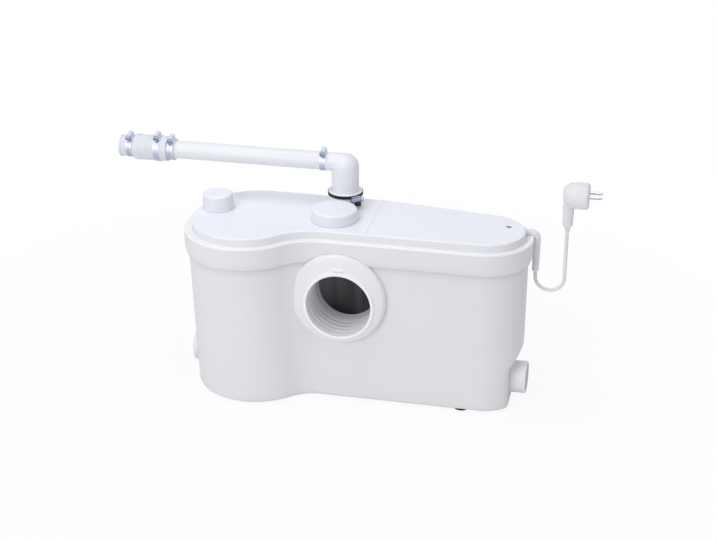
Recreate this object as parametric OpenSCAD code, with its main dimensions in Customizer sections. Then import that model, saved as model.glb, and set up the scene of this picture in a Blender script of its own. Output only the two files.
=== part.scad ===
// Macerator toilet pump: a waisted tank with a pan inlet in front, an inlet at each end,
// a grinder pump under the lid's right half and a discharge pipe that swivels on the lid.
// Lengths are millimetres. X runs along the tank, -Y faces the pan and Z is up.
// Places are measured from the pan inlet axis and the tank's straight front edge.

/* [Lid outline] */
// Lid panel, from the pan inlet axis to its left end
panel_left = 236; // [228:1:250]
// Lid panel, from the pan inlet axis to its right end
panel_right = 268; // [262:1:290]
// Lid panel, from the straight front edge to the straight back edge
panel_depth = 143.5; // [141:0.5:155]
// How far the front left bulge stands forward of the straight front edge
bulge_out = 58; // [50:1:64]
// Front left bulge radius
bulge_r = 82; // [78:1:88]
// Concave waist radius
waist_r = 90; // [82:1:105]
// Right end radius
end_r = 60; // [57:1:63]
// Left back corner radius
back_corner_r = 90; // [82:1:96]
// Back edge taper toward the right end, in degrees
back_taper = 7.6; // [6:0.1:8.5]
// Radius that blends the taper into the straight back edge
back_blend_r = 300; // [250:10:350]

/* [Tank outline] */
// Tank wall just under the skirt, outside the lid panel
belly_off = 6; // [5:0.5:6.5]
// Each end of the tank's foot, outside the lid panel
foot_out = 5; // [3:0.5:6]
// How far the front left bulge draws back between the lid panel and the tank's foot
bulge_back = 8.5; // [4:0.5:10]
// How much wider the front left bulge's radius is at the tank's foot
bulge_grow = 12.5; // [8:0.5:13]
// Concave waist radius at the tank's foot
foot_waist_r = 60; // [55:1:90]
// Back edge of the tank's foot, in front of the lid panel's back edge
foot_back_in = 2.5; // [1:0.5:5]

/* [Heights] */
// Rubber foot height
foot_h = 3; // [2:0.5:6]
// Tank, from its underside to its rim
tank_h = 259; // [254:1:275]
// Cover gasket thickness
gasket_t = 2.5; // [1.5:0.5:4]
// Cover deck thickness
deck_t = 4; // [3:0.5:6]
// Raised lid panel, from the deck to its top
panel_h = 13.5; // [12:0.5:20]
// Cover skirt, from the deck top to its lower edge
skirt_h = 33; // [30:1:40]

/* [Walls] */
// Tank wall thickness
wall = 3.5; // [3:0.5:4.5]
// Tank floor thickness
floor_t = 4; // [3:0.5:6]
// Lid panel wall thickness
panel_wall = 3; // [2:0.5:4]
// Cover skirt wall thickness
skirt_wall = 2.8; // [2:0.2:3.2]
// Cover edge, outside the lid panel
ledge_w = 12.5; // [12:0.5:16]
// Rounding of the cover edge
edge_round = 5; // [4:0.5:8.5]
// How far the skirt draws in between the cover edge and its lower edge
skirt_in = 3; // [2:0.5:3.5]
// Tank rim flange, outside the lid panel
rim_lip = 7.5; // [6.5:0.1:8]
// Tank rim flange thickness
rim_t = 5; // [3:0.5:6]
// Line between the lid panel and the motor cover, right of the pan inlet axis
seam_x = 36; // [32:1:40]
// Gap between the lid panel and the motor cover
seam_gap = 0.6; // [0.4:0.1:1]

/* [Pan inlet] */
// Pan inlet axis, below the tank rim
inlet_drop = 91; // [88:1:97]
// Radius that the pan spigot slides into
inlet_r = 50; // [48:0.5:52]
// Rubber sleeve thickness
sleeve_t = 3; // [2:0.5:4]
// Collar tube wall thickness
collar_t = 3.5; // [2.5:0.5:4.5]
// Collar mouth, in front of the tank's straight front edge
mouth_out = 22; // [18:1:28]
// Collar tube, behind the tank's straight front edge
tube_in = 46; // [42:1:50]
// Collar shoulder radius
shoulder_r = 73.5; // [70:0.5:74]
// Collar shoulder's centre, above the pan inlet axis
shoulder_up = 8; // [0:0.5:9]
// Collar shoulder's centre, left of the pan inlet axis
shoulder_left = 3; // [0:0.5:4]
// Rubber sleeve length
sleeve_len = 55; // [45:1:60]
// Number of grooves inside the rubber sleeve
groove_count = 5; // [3:1:6]

/* [Side inlets] */
// Height of the side inlet axes above the floor
side_z = 40; // [38:0.5:44]
// Side inlet spigot outer radius
spigot_r = 25; // [23:0.5:25.5]
// Side inlet spigot wall thickness
spigot_t = 3.5; // [2.5:0.5:4.5]
// Side inlet spigot length outside the tank
spigot_len = 25; // [22:1:40]
// Flat land of the right side inlet, drawn in from the lid panel's end
right_land_in = 12; // [11:0.5:16]
// Flat land of the left side inlet, drawn in from the lid panel's end
left_land_in = 8; // [6:0.5:14]
// Height of the flat lands
land_h = 68; // [67:1:76]
// Side inlet flap thickness
flap_t = 3; // [2:0.5:4]

/* [Pump] */
// Motor axis, right of the pan inlet axis
motor_x = 125; // [120:1:130]
// Motor axis, behind the tank's straight front edge
motor_y = 64; // [62.5:0.5:65.5]
// Motor housing outer radius
housing_r = 44; // [42:0.5:45]
// Motor housing wall thickness
housing_t = 3; // [2:0.5:4]
// Motor shaft radius
shaft_r = 5; // [4:0.5:6]
// Motor stator length
stator_len = 88; // [70:1:90]
// Impeller radius
impeller_r = 37; // [32:0.5:38]
// Number of impeller vanes
vane_count = 5; // [4:1:7]
// Grinder ring inner radius
grinder_r = 32; // [29:0.5:34]
// Number of slots in the grinder ring
slot_count = 12; // [8:1:14]

/* [Discharge] */
// Discharge elbow axis, left of the pan inlet axis
elbow_left = 20; // [16:1:24]
// Discharge elbow axis, in front of the lid panel's back edge
elbow_in = 25.5; // [25:0.5:28]
// Discharge elbow outer radius
elbow_r = 21; // [20:0.5:21.5]
// Discharge elbow wall thickness
elbow_t = 3.5; // [2.5:0.5:4]
// Height of the discharge pipe axis above the lid panel
pipe_rise = 67; // [62:1:90]
// Discharge pipe outer radius
pipe_r = 14; // [13:0.5:14.5]
// Discharge pipe wall thickness
pipe_t = 2; // [1.5:0.1:2.5]
// Discharge pipe length
pipe_len = 277; // [240:1:320]
// Rubber coupling length
coupling_len = 91; // [84:1:110]
// Rubber coupling radius over its middle
coupling_r = 19.5; // [18.5:0.5:22]
// Length of pipe that the rubber coupling takes at each end
coupling_grip = 28; // [26:1:32]
// Hose clamp band width
band_w = 9; // [7:0.5:10]
// Hose clamp band thickness
band_t = 0.9; // [0.6:0.1:1.2]
// Angle of each pipe clamp's worm screw, from the pipe's front round to its top
worm_a = 75; // [0:5:90]

/* [Caps] */
// Vent cap radius at its foot
vent_r = 36.5; // [34:0.5:38]
// Vent cap height
vent_h = 18.5; // [16:0.5:22]
// Vent cap axis, left of the pan inlet axis
vent_left = 22; // [20:0.5:24]
// Top inlet cap radius at its foot
plug_cap_r = 24.5; // [23:0.5:25.5]
// Top inlet cap height
plug_cap_h = 25; // [22:0.5:30]
// Cap wall thickness
cap_t = 2.5; // [2:0.25:3]

/* [Mains lead] */
// Mains lead radius
cord_r = 2.8; // [2.6:0.1:3.2]
// Strain relief radius where it leaves the motor cover
gland_r = 5; // [4.5:0.1:5.2]

/* [Hidden] */
$fn = 64;

// Clearances
run_gap = 0.4;
fit_gap = 0.3;
bore_gap = 0.05;
cut = 1;
far = 600;

// Centres of the lid panel's arcs
corner_x = back_corner_r - panel_left;
corner_y = panel_depth - back_corner_r;
bulge_x = bulge_r - panel_left;
bulge_y = bulge_r - bulge_out;
end_x = panel_right - end_r;

// One stretch of an outline as n + 1 points with outward normals; side is -1 on a concave arc
function arc(n, cx, cy, r, a0, a1, side, first = 0) =
    [for (i = [first:n]) let (a = a0 + (a1 - a0) * i / n)
        [cx + r * cos(a), cy + r * sin(a), side * cos(a), side * sin(a)]];

// Back corner, bulge, waist, right end and blended back, with as many points whatever the sizes
function outline(left, right, depth, out, bulge, waist) =
    let (bulge_x = bulge - left, bulge_y = bulge - out,
         reach = sqrt(pow(bulge + waist, 2) - pow(waist + bulge_y, 2)),
         lean = atan2(-waist - bulge_y, reach),
         end_x = right - end_r,
         blend_y = depth - back_blend_r,
         blend_x = end_x - ((blend_y - end_r) * cos(back_taper) + back_blend_r - end_r) / sin(back_taper))
    concat(
        arc(12, back_corner_r - left, depth - back_corner_r, back_corner_r, 90, 180, 1),
        arc(19, bulge_x, bulge_y, bulge, 180, 360 + lean, 1),
        arc(7, bulge_x + reach, -waist, waist, 180 + lean, 90, -1, 1),
        arc(23, end_x, end_r, end_r, -90, 90 - back_taper, 1),
        arc(2, blend_x, blend_y, back_blend_r, 90 - back_taper, 90, 1));

edge = outline(panel_left, panel_right, panel_depth, bulge_out, bulge_r, waist_r);
foot_edge = outline(panel_left + foot_out, panel_right + foot_out, panel_depth - foot_back_in,
    bulge_out - bulge_back, bulge_r + bulge_grow, foot_waist_r);

// Heights above the floor
rim_z = foot_h + tank_h;
deck_z = rim_z + gasket_t;
ledge_z = deck_z + deck_t;
panel_z = ledge_z + panel_h;
skirt_z = ledge_z - skirt_h;
ceiling_z = panel_z - panel_wall;

// Tank wall: up from the foot's outline to the belly under the skirt, then tucked in to the rim
rim_off = 3;
tank_fillet = 6;
tuck_h = 3.5;
belly_z = skirt_z - 2;
tuck_drop = wall * tan(22.5);

// Quarter round from a flat underside up to an upright wall, on the foot's outline
function foot_round(off, z, r) = [for (a = [0:22.5:90]) [off - r + r * sin(a), z + r - r * cos(a), 1]];

// Each profile point is an offset from the outline, a height and the share of the foot's outline
tank_profile = concat(
    foot_round(0, foot_h, tank_fillet),
    [[belly_off, belly_z], [rim_off, belly_z + tuck_h], [rim_off, rim_z - rim_t],
     [rim_lip, rim_z - rim_t], [rim_lip, rim_z]]);
hollow_profile = concat(
    foot_round(-wall, foot_h + floor_t, tank_fillet),
    [[belly_off - wall, belly_z - tuck_drop], [rim_off - wall, belly_z + tuck_h - tuck_drop],
     [rim_off - wall, rim_z + cut]]);

// Lid panel edge, from its rounded top down through a cove to the deck
panel_edge = [
    [-2.2, panel_z], [-0.9, panel_z - 0.4], [0, panel_z - 1.3],
    [0.7, ledge_z + 4.5], [1.6, ledge_z + 1.8], [3.4, ledge_z + 0.4]];
// Rounded cover edge and skirt
cover_edge = [
    [3.6, ledge_z], [ledge_w - 0.91 * edge_round, ledge_z],
    [ledge_w - 0.42 * edge_round, ledge_z - 0.15 * edge_round],
    [ledge_w - 0.09 * edge_round, ledge_z - 0.51 * edge_round],
    [ledge_w, ledge_z - edge_round], [ledge_w - skirt_in, skirt_z]];
screw_seat = rim_off + 0.2;
skirt_top = ledge_w - skirt_wall - 0.5;
cover_inside = [
    [ledge_w - skirt_in - skirt_wall, skirt_z], [skirt_top, rim_z + fit_gap],
    [screw_seat, rim_z + fit_gap], [screw_seat, deck_z],
    [-panel_wall + 0.7, deck_z], [-panel_wall, ceiling_z]];

// Cover screws, each on the rim flange at a point of the outline
cover_screw_r = 1.5;
cover_screw_off = (rim_off + rim_lip) / 2;
cover_screw_count = 8;

// Electrics tray under the motor cover
tray_t = 3;
tray_floor = ledge_z - 32.5;
tray_flange = panel_wall;
tray_side = 8;
tray_in = tray_side + fit_gap + tray_t;
boss_r = 4.5;
boss_x = panel_right - 27;
boss_y = end_r + 19;
screw_r = 2;

// Pan inlet
inlet_z = rim_z - inlet_drop;
collar_r = inlet_r + sleeve_t;
tube_r = collar_r + collar_t;
collar_len = mouth_out + tube_in;
shoulder_in = 8;
lip_t = 1.5;
groove_w = 2.5;
groove_deep = 1.2;
groove_pitch = 8;
baffle_t = 3;
baffle_r = tube_r + baffle_t + 0.5;
baffle_low = 26;

// Side inlets
right_land = panel_right - right_land_in;
left_land = panel_left - left_land_in;
land_half = spigot_r + 10.5;
right_y = end_r;
left_y = corner_y + 6.5;
seal_t = 2;
root_r = spigot_r - 0.3;
flange_r = spigot_r + 4.5;
flange_t = 4;
seat_r = spigot_r + 1;
seat_len = 8.5;
flap_r = spigot_r - spigot_t + 1.5;
ear_low = seat_r - 3.5;
ear_back = 3.5;
pin_r = 2;
pin_lift = seat_r + 5;
knuckle_r = 4.5;
knuckle_w = 16;
ear_t = 3;
ear_mid = (knuckle_w + ear_t) / 2 + run_gap;
seat_at = wall + seal_t + flange_t + seat_len;
flap_at = seat_at + run_gap + flap_t / 2;

// Pump
volute_top = 104;
volute_low = 60;
volute_r = housing_r + 2;
chamber_r = impeller_r + 3;
suction_t = 4;
stator_low = volute_top + 24;
stator_top = stator_low + stator_len;
stator_r = housing_r - housing_t;
rotor_r = 25;
bearing_r = shaft_r + 8;
bearing_t = 8;
seal_r = shaft_r + 7;
housing_flange = 6;
tray_top = tray_floor + tray_t;
duct_r = 15;
duct_bore = 11;
duct_z = volute_low + 20;
stub_len = 58;
pump_screw_at = (chamber_r + volute_r) / 2;

// Discharge stack
elbow_x = -elbow_left;
elbow_y = panel_depth - elbow_in;
pipe_z = panel_z + pipe_rise;
riser_r = 16;
riser_bore = 12;
riser_top = ledge_z - 10.5;
neck_r = elbow_r + 4;
neck_bore = elbow_r - 1;
neck_z = panel_z + 15;
neck_seat = panel_z + 8;
socket_low = riser_top - 12;
grommet_r = elbow_r + 5.5;
grommet_z = neck_z + 7;
check_r = riser_r - 1.5;
check_pin_r = 1.2;
check_pin_y = neck_bore - 3.5;
check_pin_z = riser_top + run_gap + 2.4;
stub_x = elbow_x - elbow_r - 3;
pipe_end = stub_x - pipe_len;
coupling_right = pipe_end + coupling_grip;
coupling_left = coupling_right - coupling_len;
sleeve_r = pipe_r + 2.2;
step_right = coupling_right - 12;
step_left = coupling_left + 24.5;
duct_a = atan2(motor_y + chamber_r - 12 - elbow_y, motor_x - elbow_x);
baffle_y = elbow_y - (baffle_r + duct_r + cut + elbow_x * sin(duct_a)) / cos(duct_a);

// Hose clamps: where each sits along the pipe and the radius that it grips
clamp_w = band_w + 2;
pipe_clamp_at = [stub_x - band_w / 2 - 5.5, coupling_right - band_w / 2 - 1.8];
pipe_clamp_r = [pipe_r, sleeve_r];
coupling_clamp_at = [step_right - 16.5, coupling_left + 16.5];
coupling_clamp_r = [coupling_r, sleeve_r];
worm_r = 3;
worm_out = band_t + 3.8;
house_low = -8;
house_top = 8;
head_r = worm_r + 1.6;
head_len = 5;
slot_w = 1.3;
slot_deep = 1.8;
neck_clamp_a = -45;
neck_clamp_w = 5;
neck_worm_drop = 3;

// Caps
vent_x = -vent_left;
vent_gap = 4;
vent_y = elbow_y - grommet_r - band_t - vent_gap - vent_r;
vent_neck_r = vent_r - cap_t - run_gap;
vent_neck_t = 3;
vent_neck_h = vent_h - cap_t - 3;
top_cap_x = plug_cap_r + 3.5 - panel_left;
top_cap_y = bulge_y + 34;
top_neck_r = plug_cap_r - cap_t - 1.6 - run_gap;
top_neck_t = 3;
top_neck_h = plug_cap_h - cap_t - run_gap;
top_neck_low = ledge_z - 28;
ring_r = 1;

// Electrics
switch_x = panel_right - 36;
switch_y = 45;
switch_r = 15;
switch_h = 16;
plunger_r = 3;
bell_r = 12;
bell_t = 2.5;
bell_neck_r = 6;
bell_low = 80;
cap_x = panel_right - 65;
cap_y = 88;

// Mains lead: strain relief at the motor cover's end, then the lead's points from its lower end
cord_y = end_r + 22;
gland_x = panel_right + 15.5;
gland_z = ledge_z + 5.5;
gland_bend = 9;
gland_run = 30;
gland_low = gland_z - 60;
lead = [
    [0, 0], [0, -5], [0, -10], [1, -17], [4, -23], [9, -28], [15, -31], [22, -32], [29, -31], [35, -28],
    [40, -23], [43, -17], [44, -10], [44, -1], [44, 10], [44, 23], [44, 36], [44, 49], [44, 58], [44, 67]];
route = [for (p = lead) [gland_x + p[0], gland_low + p[1]]];
cord_sides = 10;
plug_x = route[len(route) - 1][0];
relief_low = route[len(route) - 1][1];
relief_top = relief_low + 9;
plug_z = relief_top + 49;
plug_r = 20;
plug_face = plug_x + 29.5;
plug_pin_r = 2.4;
plug_pin_len = 19;
plug_pin_gap = 19;
plug_pin_root = 10;

// The part's origin is under the middle of everything but the mains lead
origin_x = (coupling_left + right_land + spigot_len) / 2;
origin_y = (panel_depth - bulge_out) / 2;

white = [0.93, 0.94, 0.96];
black = [0.08, 0.08, 0.09];
steel = [0.66, 0.69, 0.73];
grey = [0.45, 0.47, 0.5];
copper = [0.72, 0.45, 0.28];

module place() translate([-origin_x, -origin_y, 0]) children();

// Solid whose rings are the lid's outline, or so much of the foot's, offset and lifted as the profile says
module loft(profile) {
    n = len(edge);
    m = len(profile);
    up = profile[0][1] < profile[m - 1][1];
    rings = [for (s = profile) for (i = [0:n - 1])
        let (p = edge[i] + (foot_edge[i] - edge[i]) * (len(s) > 2 ? s[2] : 0))
            [p[0] + s[0] * p[2], p[1] + s[0] * p[3], s[1]]];
    sides = [for (k = [0:m - 2]) for (i = [0:n - 1]) let (j = (i + 1) % n)
        each [[k * n + i, (k + 1) * n + i, k * n + j], [k * n + j, (k + 1) * n + i, (k + 1) * n + j]]];
    ends = [[for (i = [0:n - 1]) i], [for (i = [0:n - 1]) m * n - 1 - i]];
    faces = concat(sides, ends);
    polyhedron(rings, up ? faces : [for (f = faces) [for (i = [len(f) - 1:-1:0]) f[i]]]);
}

// Slab with the outline's shape between two heights
module slab(off, z0, z1)
    translate([0, 0, z0])
        linear_extrude(z1 - z0)
            polygon([for (p = edge) [p[0] + off * p[2], p[1] + off * p[3]]]);

// Everything right of a line across the lid
module right_of(x) translate([x, -far, 0]) cube([2 * far, 2 * far, far]);

module tube(r, bore, z0, z1)
    translate([0, 0, z0])
        difference() {
            cylinder(r = r, h = z1 - z0);
            translate([0, 0, -cut]) cylinder(r = bore, h = z1 - z0 + 2 * cut);
        }

module rod(r, z0, z1) translate([0, 0, z0]) cylinder(r = r, h = z1 - z0);

module revolve(points) rotate_extrude() polygon(points);

module at_inlet() translate([0, tube_in, inlet_z]) rotate([90, 0, 0]) children();
module at_shoulder() at_inlet() translate([-shoulder_left, shoulder_up, 0]) children();
module at_motor() translate([motor_x, motor_y, 0]) children();
module at_elbow() translate([elbow_x, elbow_y, 0]) children();
module at_vent() translate([vent_x, vent_y, 0]) children();
module at_top_cap() translate([top_cap_x, top_cap_y, 0]) children();
module at_switch() translate([switch_x, switch_y, 0]) children();
module at_boss() translate([boss_x, boss_y, 0]) children();
module at_duct() at_elbow() translate([0, 0, duct_z]) rotate([0, 0, duct_a]) rotate([0, 90, 0]) children();
module at_pipe(x) translate([x, elbow_y, pipe_z]) rotate([0, -90, 0]) children();
module at_clamp(x) translate([x, elbow_y, pipe_z]) rotate([90, 0, -90]) rotate([0, 0, worm_a]) children();
module at_neck_clamp() at_elbow() translate([0, 0, (neck_z + grommet_z) / 2])
    rotate([180, 0, neck_clamp_a]) children();
duct_run = (motor_x - elbow_x) / cos(duct_a);

// The right side inlet's own frame: x runs out of the tank from the flat land
module at_right() translate([right_land, right_y, side_z]) children();
module at_left() translate([-left_land, left_y, side_z]) mirror([1, 0, 0]) children();
module outward() rotate([0, 90, 0]) children();

// Space beside a flat land under its sloped top, as wide as twice half and larger by t toward the tank
module land_space(t, land_in, half) {
    slope = land_in + belly_off + 2;
    slope_top = land_h - side_z + 1.5 * slope;
    rotate([90, 0, 0])
        linear_extrude(2 * (half + t), center = true)
            polygon([[-t, -far], [-t, land_h - side_z + t], [slope - t, slope_top + t],
                     [far, slope_top + t], [far, -far]]);
}

// The right land cuts the whole end, and the left one is a pocket round its inlet
module land_spaces(t) {
    at_right() land_space(t, right_land_in, far);
    at_left() land_space(t, left_land_in, land_half);
}

module tank_body() {
    difference() {
        loft(tank_profile);
        land_spaces(0);
    }
}

module tank() {
    color(white)
        difference() {
            tank_body();
            difference() {
                loft(hollow_profile);
                land_spaces(wall);
            }
            translate([0, 0, inlet_z]) rotate([90, 0, 0])
                cylinder(r = tube_r + fit_gap, h = 2 * tube_in, center = true);
            at_right() outward() rod(spigot_r + fit_gap, -20, 20);
            at_left() outward() rod(spigot_r + fit_gap, -20, 20);
            cover_screw_places() rod(cover_screw_r + 0.1, rim_z - rim_t - cut, rim_z + cut);
        }
}

// The cover screws stand on every so many points of the outline
module cover_screw_places()
    for (i = [0:cover_screw_count - 1]) {
        p = edge[floor((i + 0.35) * len(edge) / cover_screw_count)];
        translate([p[0] + cover_screw_off * p[2], p[1] + cover_screw_off * p[3], 0]) children();
    }

module cover_screws() {
    color(steel)
        cover_screw_places() {
            rod(cover_screw_r, rim_z - rim_t, deck_z);
            rod(cover_screw_r + 0.7, rim_z - rim_t - 2, rim_z - rim_t);
        }
}

module cover_gasket() {
    color(black)
        difference() {
            slab(rim_off, rim_z, deck_z);
            slab(rim_off - wall, rim_z - cut, deck_z + cut);
        }
}

module main_cover() {
    color(white)
        difference() {
            union() {
                difference() {
                    loft(concat(panel_edge, cover_edge, cover_inside));
                    translate([0, 0, ledge_z]) right_of(seam_x);
                }
                intersection() {
                    slab(screw_seat, deck_z, ledge_z);
                    right_of(seam_x - panel_wall);
                }
                intersection() {
                    loft([[0.7, deck_z], [0.7, ledge_z + 4.5], [0, panel_z - 1.3], [-0.9, panel_z - 0.4],
                          [-2.2, panel_z]]);
                    translate([seam_x - panel_wall, -far, 0]) cube([panel_wall, 2 * far, far]);
                }
                at_elbow() rod(neck_r, ceiling_z, neck_z);
                at_elbow() rod(neck_r - 2, socket_low, panel_z - cut);
                at_vent() rod(vent_neck_r, ceiling_z, panel_z + vent_neck_h);
                at_top_cap() rod(top_neck_r, top_neck_low, panel_z + top_neck_h);
            }
            intersection() {
                slab(-tray_side, deck_z - cut, ledge_z + cut);
                right_of(seam_x + tray_side);
            }
            at_elbow() rod(riser_r, socket_low - cut, riser_top + cut);
            at_elbow() rod(neck_bore, riser_top, neck_z + cut);
            at_elbow() rod(elbow_r + 2.5, neck_seat, neck_z + cut);
            at_check_pin() rod(check_pin_r, -neck_bore, neck_bore);
            at_vent() rod(vent_neck_r - vent_neck_t, panel_z, panel_z + 50);
            at_vent() rod(12, ceiling_z - cut, panel_z + cut);
            at_top_cap() rod(top_neck_r - top_neck_t, top_neck_low - cut, panel_z + 50);
            at_top_cap() top_ring(ring_r);
            at_shoulder() rod(shoulder_r + fit_gap, tube_in - shoulder_in, collar_len + cut);
            cover_screw_places() rod(cover_screw_r, rim_z, deck_z);
        }
}

module motor_cover() {
    left = seam_x + seam_gap;
    color(white)
        difference() {
            intersection() {
                loft(concat([[3.4, ledge_z]], [for (i = [len(panel_edge) - 1:-1:0]) panel_edge[i]]));
                right_of(left);
            }
            difference() {
                intersection() {
                    loft([[0.7 - panel_wall, ledge_z - cut], [-panel_wall, ceiling_z]]);
                    right_of(left + panel_wall);
                }
                at_boss() rod(boss_r + 1.5, ledge_z, panel_z);
            }
            at_boss() rod(boss_r, ledge_z + 3, panel_z + cut);
            at_boss() rod(screw_r + 0.2, ledge_z - cut, panel_z);
            at_gland() rod(gland_r, -gland_run, gland_bend);
        }
}

module motor_cover_screw() {
    color(grey)
        at_boss()
            difference() {
                union() {
                    rod(screw_r, ledge_z - 12, ledge_z + 3);
                    rod(boss_r - 0.8, ledge_z + 3, ledge_z + 6);
                }
                translate([0, 0, ledge_z + 6]) cube([5, 1, 2.4], center = true);
                translate([0, 0, ledge_z + 6]) cube([1, 5, 2.4], center = true);
            }
}

module electrics_tray() {
    color(white)
        difference() {
            union() {
                difference() {
                    union() {
                        intersection() {
                            slab(-tray_flange, ledge_z, ledge_z + 2);
                            right_of(seam_x + seam_gap + panel_wall + fit_gap);
                        }
                        intersection() {
                            slab(-tray_side - fit_gap, tray_floor, ledge_z + 2);
                            right_of(seam_x + tray_side + fit_gap);
                        }
                    }
                    intersection() {
                        slab(-tray_in, tray_top, ledge_z + 20);
                        right_of(seam_x + tray_in);
                    }
                }
                at_boss() rod(boss_r, tray_floor, ledge_z);
            }
            at_boss() rod(screw_r, ledge_z - 13, ledge_z + cut);
            at_motor() rod(housing_r + fit_gap, tray_floor - cut, tray_top + cut);
            at_switch() rod(bell_neck_r, tray_floor - cut, tray_top + cut);
            at_gland() rod(gland_r + fit_gap, -gland_run, gland_bend);
        }
}

// Pan inlet: a rounded shoulder on the tank's wall drawn in to the mouth, a tube and a nib over the mouth
module inlet_collar() {
    front = collar_len;
    nib = [17, 5.5, 7.5];
    color(white) {
        difference() {
            hull() {
                at_shoulder() rod(shoulder_r, tube_in - shoulder_in, front - 13);
                at_shoulder() rod(shoulder_r - 1.2, front - 13, front - 10);
                at_shoulder() rod(shoulder_r - 4, front - 10, front - 7.5);
                at_inlet() rod(tube_r - 1, front - 10, front - 1.2);
                at_inlet() rod(tube_r - 2, front - 10, front);
            }
            at_inlet() rod(collar_r, 0, front + cut);
            tank_body();
        }
        at_inlet() tube(tube_r, collar_r, 0, front - 12);
        translate([-nib[0] / 2, -mouth_out, inlet_z + tube_r - 1]) cube(nib);
    }
}

module inlet_sleeve() {
    low = collar_len - sleeve_len;
    grooves = [for (i = [0:groove_count - 1]) let (z = low + 8 + i * groove_pitch)
        each [[inlet_r, z + groove_w], [inlet_r + groove_deep, z + groove_w * 0.7],
              [inlet_r + groove_deep, z + groove_w * 0.3], [inlet_r, z]]];
    color(white)
        at_inlet() revolve(concat(
            [[inlet_r, low], [collar_r, low], [collar_r, collar_len], [collar_r + 1.3, collar_len],
             [collar_r + 1.3, collar_len + lip_t - 0.5], [collar_r + 0.8, collar_len + lip_t],
             [inlet_r + 1, collar_len + lip_t], [inlet_r, collar_len + lip_t - 1]],
            [for (i = [len(grooves) / 4 - 1:-1:0]) for (k = [0:3]) grooves[i * 4 + k]]));
}

module inlet_baffle() {
    color(black)
        difference() {
            translate([0, baffle_y, 0]) tube(baffle_r, baffle_r - baffle_t, baffle_low, tray_floor);
            translate([-far, -far, 0]) cube([2 * far, far + tube_in + cut, far]);
        }
}

// Side inlet body: spigot through the wall, flange inside it and a seat with two ears
module side_inlet() {
    difference() {
        union() {
            outward() revolve([
                [spigot_r - spigot_t, -seat_at], [seat_r, -seat_at], [seat_r, seat_len - seat_at],
                [flange_r, seat_len - seat_at], [flange_r, -wall - seal_t], [root_r, -wall - seal_t],
                [root_r, 0], [spigot_r, 0], [spigot_r, spigot_len - 1], [spigot_r - 1, spigot_len],
                [spigot_r - spigot_t, spigot_len]]);
            for (s = [-1, 1])
                translate([-flap_at - ear_back, s * ear_mid - ear_t / 2, ear_low])
                    cube([seat_len + ear_back, ear_t, pin_lift - ear_low + ear_back]);
        }
        outward() rod(spigot_r - spigot_t, -seat_at - 20, spigot_len + cut);
        at_flap_pin() rod(pin_r, -20, 20);
    }
}

module at_flap_pin() translate([-flap_at, 0, pin_lift]) rotate([90, 0, 0]) children();

module side_flap() {
    difference() {
        union() {
            translate([-flap_at, 0, 0]) outward() rod(flap_r, -flap_t / 2, flap_t / 2);
            translate([-flap_at - flap_t / 2, 4 - knuckle_w / 2, 10])
                cube([flap_t, knuckle_w - 8, pin_lift - 10]);
            at_flap_pin() rod(knuckle_r, -knuckle_w / 2, knuckle_w / 2);
        }
        at_flap_pin() rod(pin_r + bore_gap, -20, 20);
    }
}

module side_inlet_right() color(white) at_right() side_inlet();
module side_inlet_left() color(white) at_left() side_inlet();
module side_flap_right() color(black) at_right() side_flap();
module side_flap_left() color(black) at_left() side_flap();

module side_flap_pins() {
    half = knuckle_w / 2 + run_gap + ear_t;
    color(steel) {
        at_right() at_flap_pin() rod(pin_r, -half, half);
        at_left() at_flap_pin() rod(pin_r, -half, half);
    }
}

module side_inlet_seals() {
    color(black) {
        at_right() outward() tube(flange_r - 0.5, root_r, -wall - seal_t, -wall);
        at_left() outward() tube(flange_r - 0.5, root_r, -wall - seal_t, -wall);
    }
}

module rubber_feet() {
    places = [[end_x - 22, 15], [end_x - 21, panel_depth - 48],
              [bulge_x - 6, bulge_y - 14], [corner_x - 14, corner_y + 36]];
    color(black)
        for (p = places)
            translate([p[0], p[1], 0])
                revolve([[0, 0], [11, 0], [12, 1], [12, foot_h], [0, foot_h]]);
}

module motor_housing() {
    bore = housing_r - housing_t;
    color(black)
        at_motor()
            difference() {
                revolve([
                    [seal_r, volute_top], [housing_r, volute_top], [housing_r, tray_top],
                    [housing_r + housing_flange, tray_top], [housing_r + housing_flange, tray_top + 4],
                    [bore, tray_top + 4], [bore, stator_low], [bore - 5, stator_low],
                    [bore - 5, volute_top + 8], [bearing_r + 4, volute_top + 8],
                    [bearing_r + 4, volute_top + 17], [bearing_r, volute_top + 17],
                    [bearing_r, volute_top + 8.5], [bearing_r - 5, volute_top + 8.5],
                    [bearing_r - 5, volute_top + 6], [seal_r, volute_top + 6]]);
                pump_screw_places() rod(pump_screw_r, volute_top - cut, volute_top + 6);
            }
}

module stator() {
    color(steel) at_motor() tube(stator_r, rotor_r + 0.6, stator_low, stator_top);
}

module motor_end_plate() {
    low = stator_top;
    color(grey)
        at_motor() revolve([
            [bearing_r - 5, low + 2], [stator_r - 6, low + 2], [stator_r - 6, low], [stator_r, low],
            [stator_r, low + 6], [bearing_r + 4, low + 6], [bearing_r + 4, low + 15], [bearing_r, low + 15],
            [bearing_r, low + 5], [bearing_r - 5, low + 5]]);
}

module motor_bearings() {
    color(steel)
        at_motor() {
            tube(bearing_r, shaft_r + bore_gap, volute_top + 8.5, volute_top + 8.5 + bearing_t);
            tube(bearing_r, shaft_r + bore_gap, stator_top + 5, stator_top + 5 + bearing_t);
        }
}

module shaft_seal() {
    color(black) at_motor() tube(seal_r, shaft_r + bore_gap, volute_top, volute_top + 6);
}

module shaft() {
    color(steel) at_motor() rod(shaft_r, volute_low - 32, stator_top + 16);
}

module rotor_core() {
    color(copper) at_motor() tube(rotor_r, shaft_r, stator_low + 2, stator_top - 2);
}

pump_screw_r = 2;
module pump_screw_places()
    for (a = [80:90:350])
        rotate([0, 0, a]) translate([pump_screw_at, 0, 0]) children();

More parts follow.
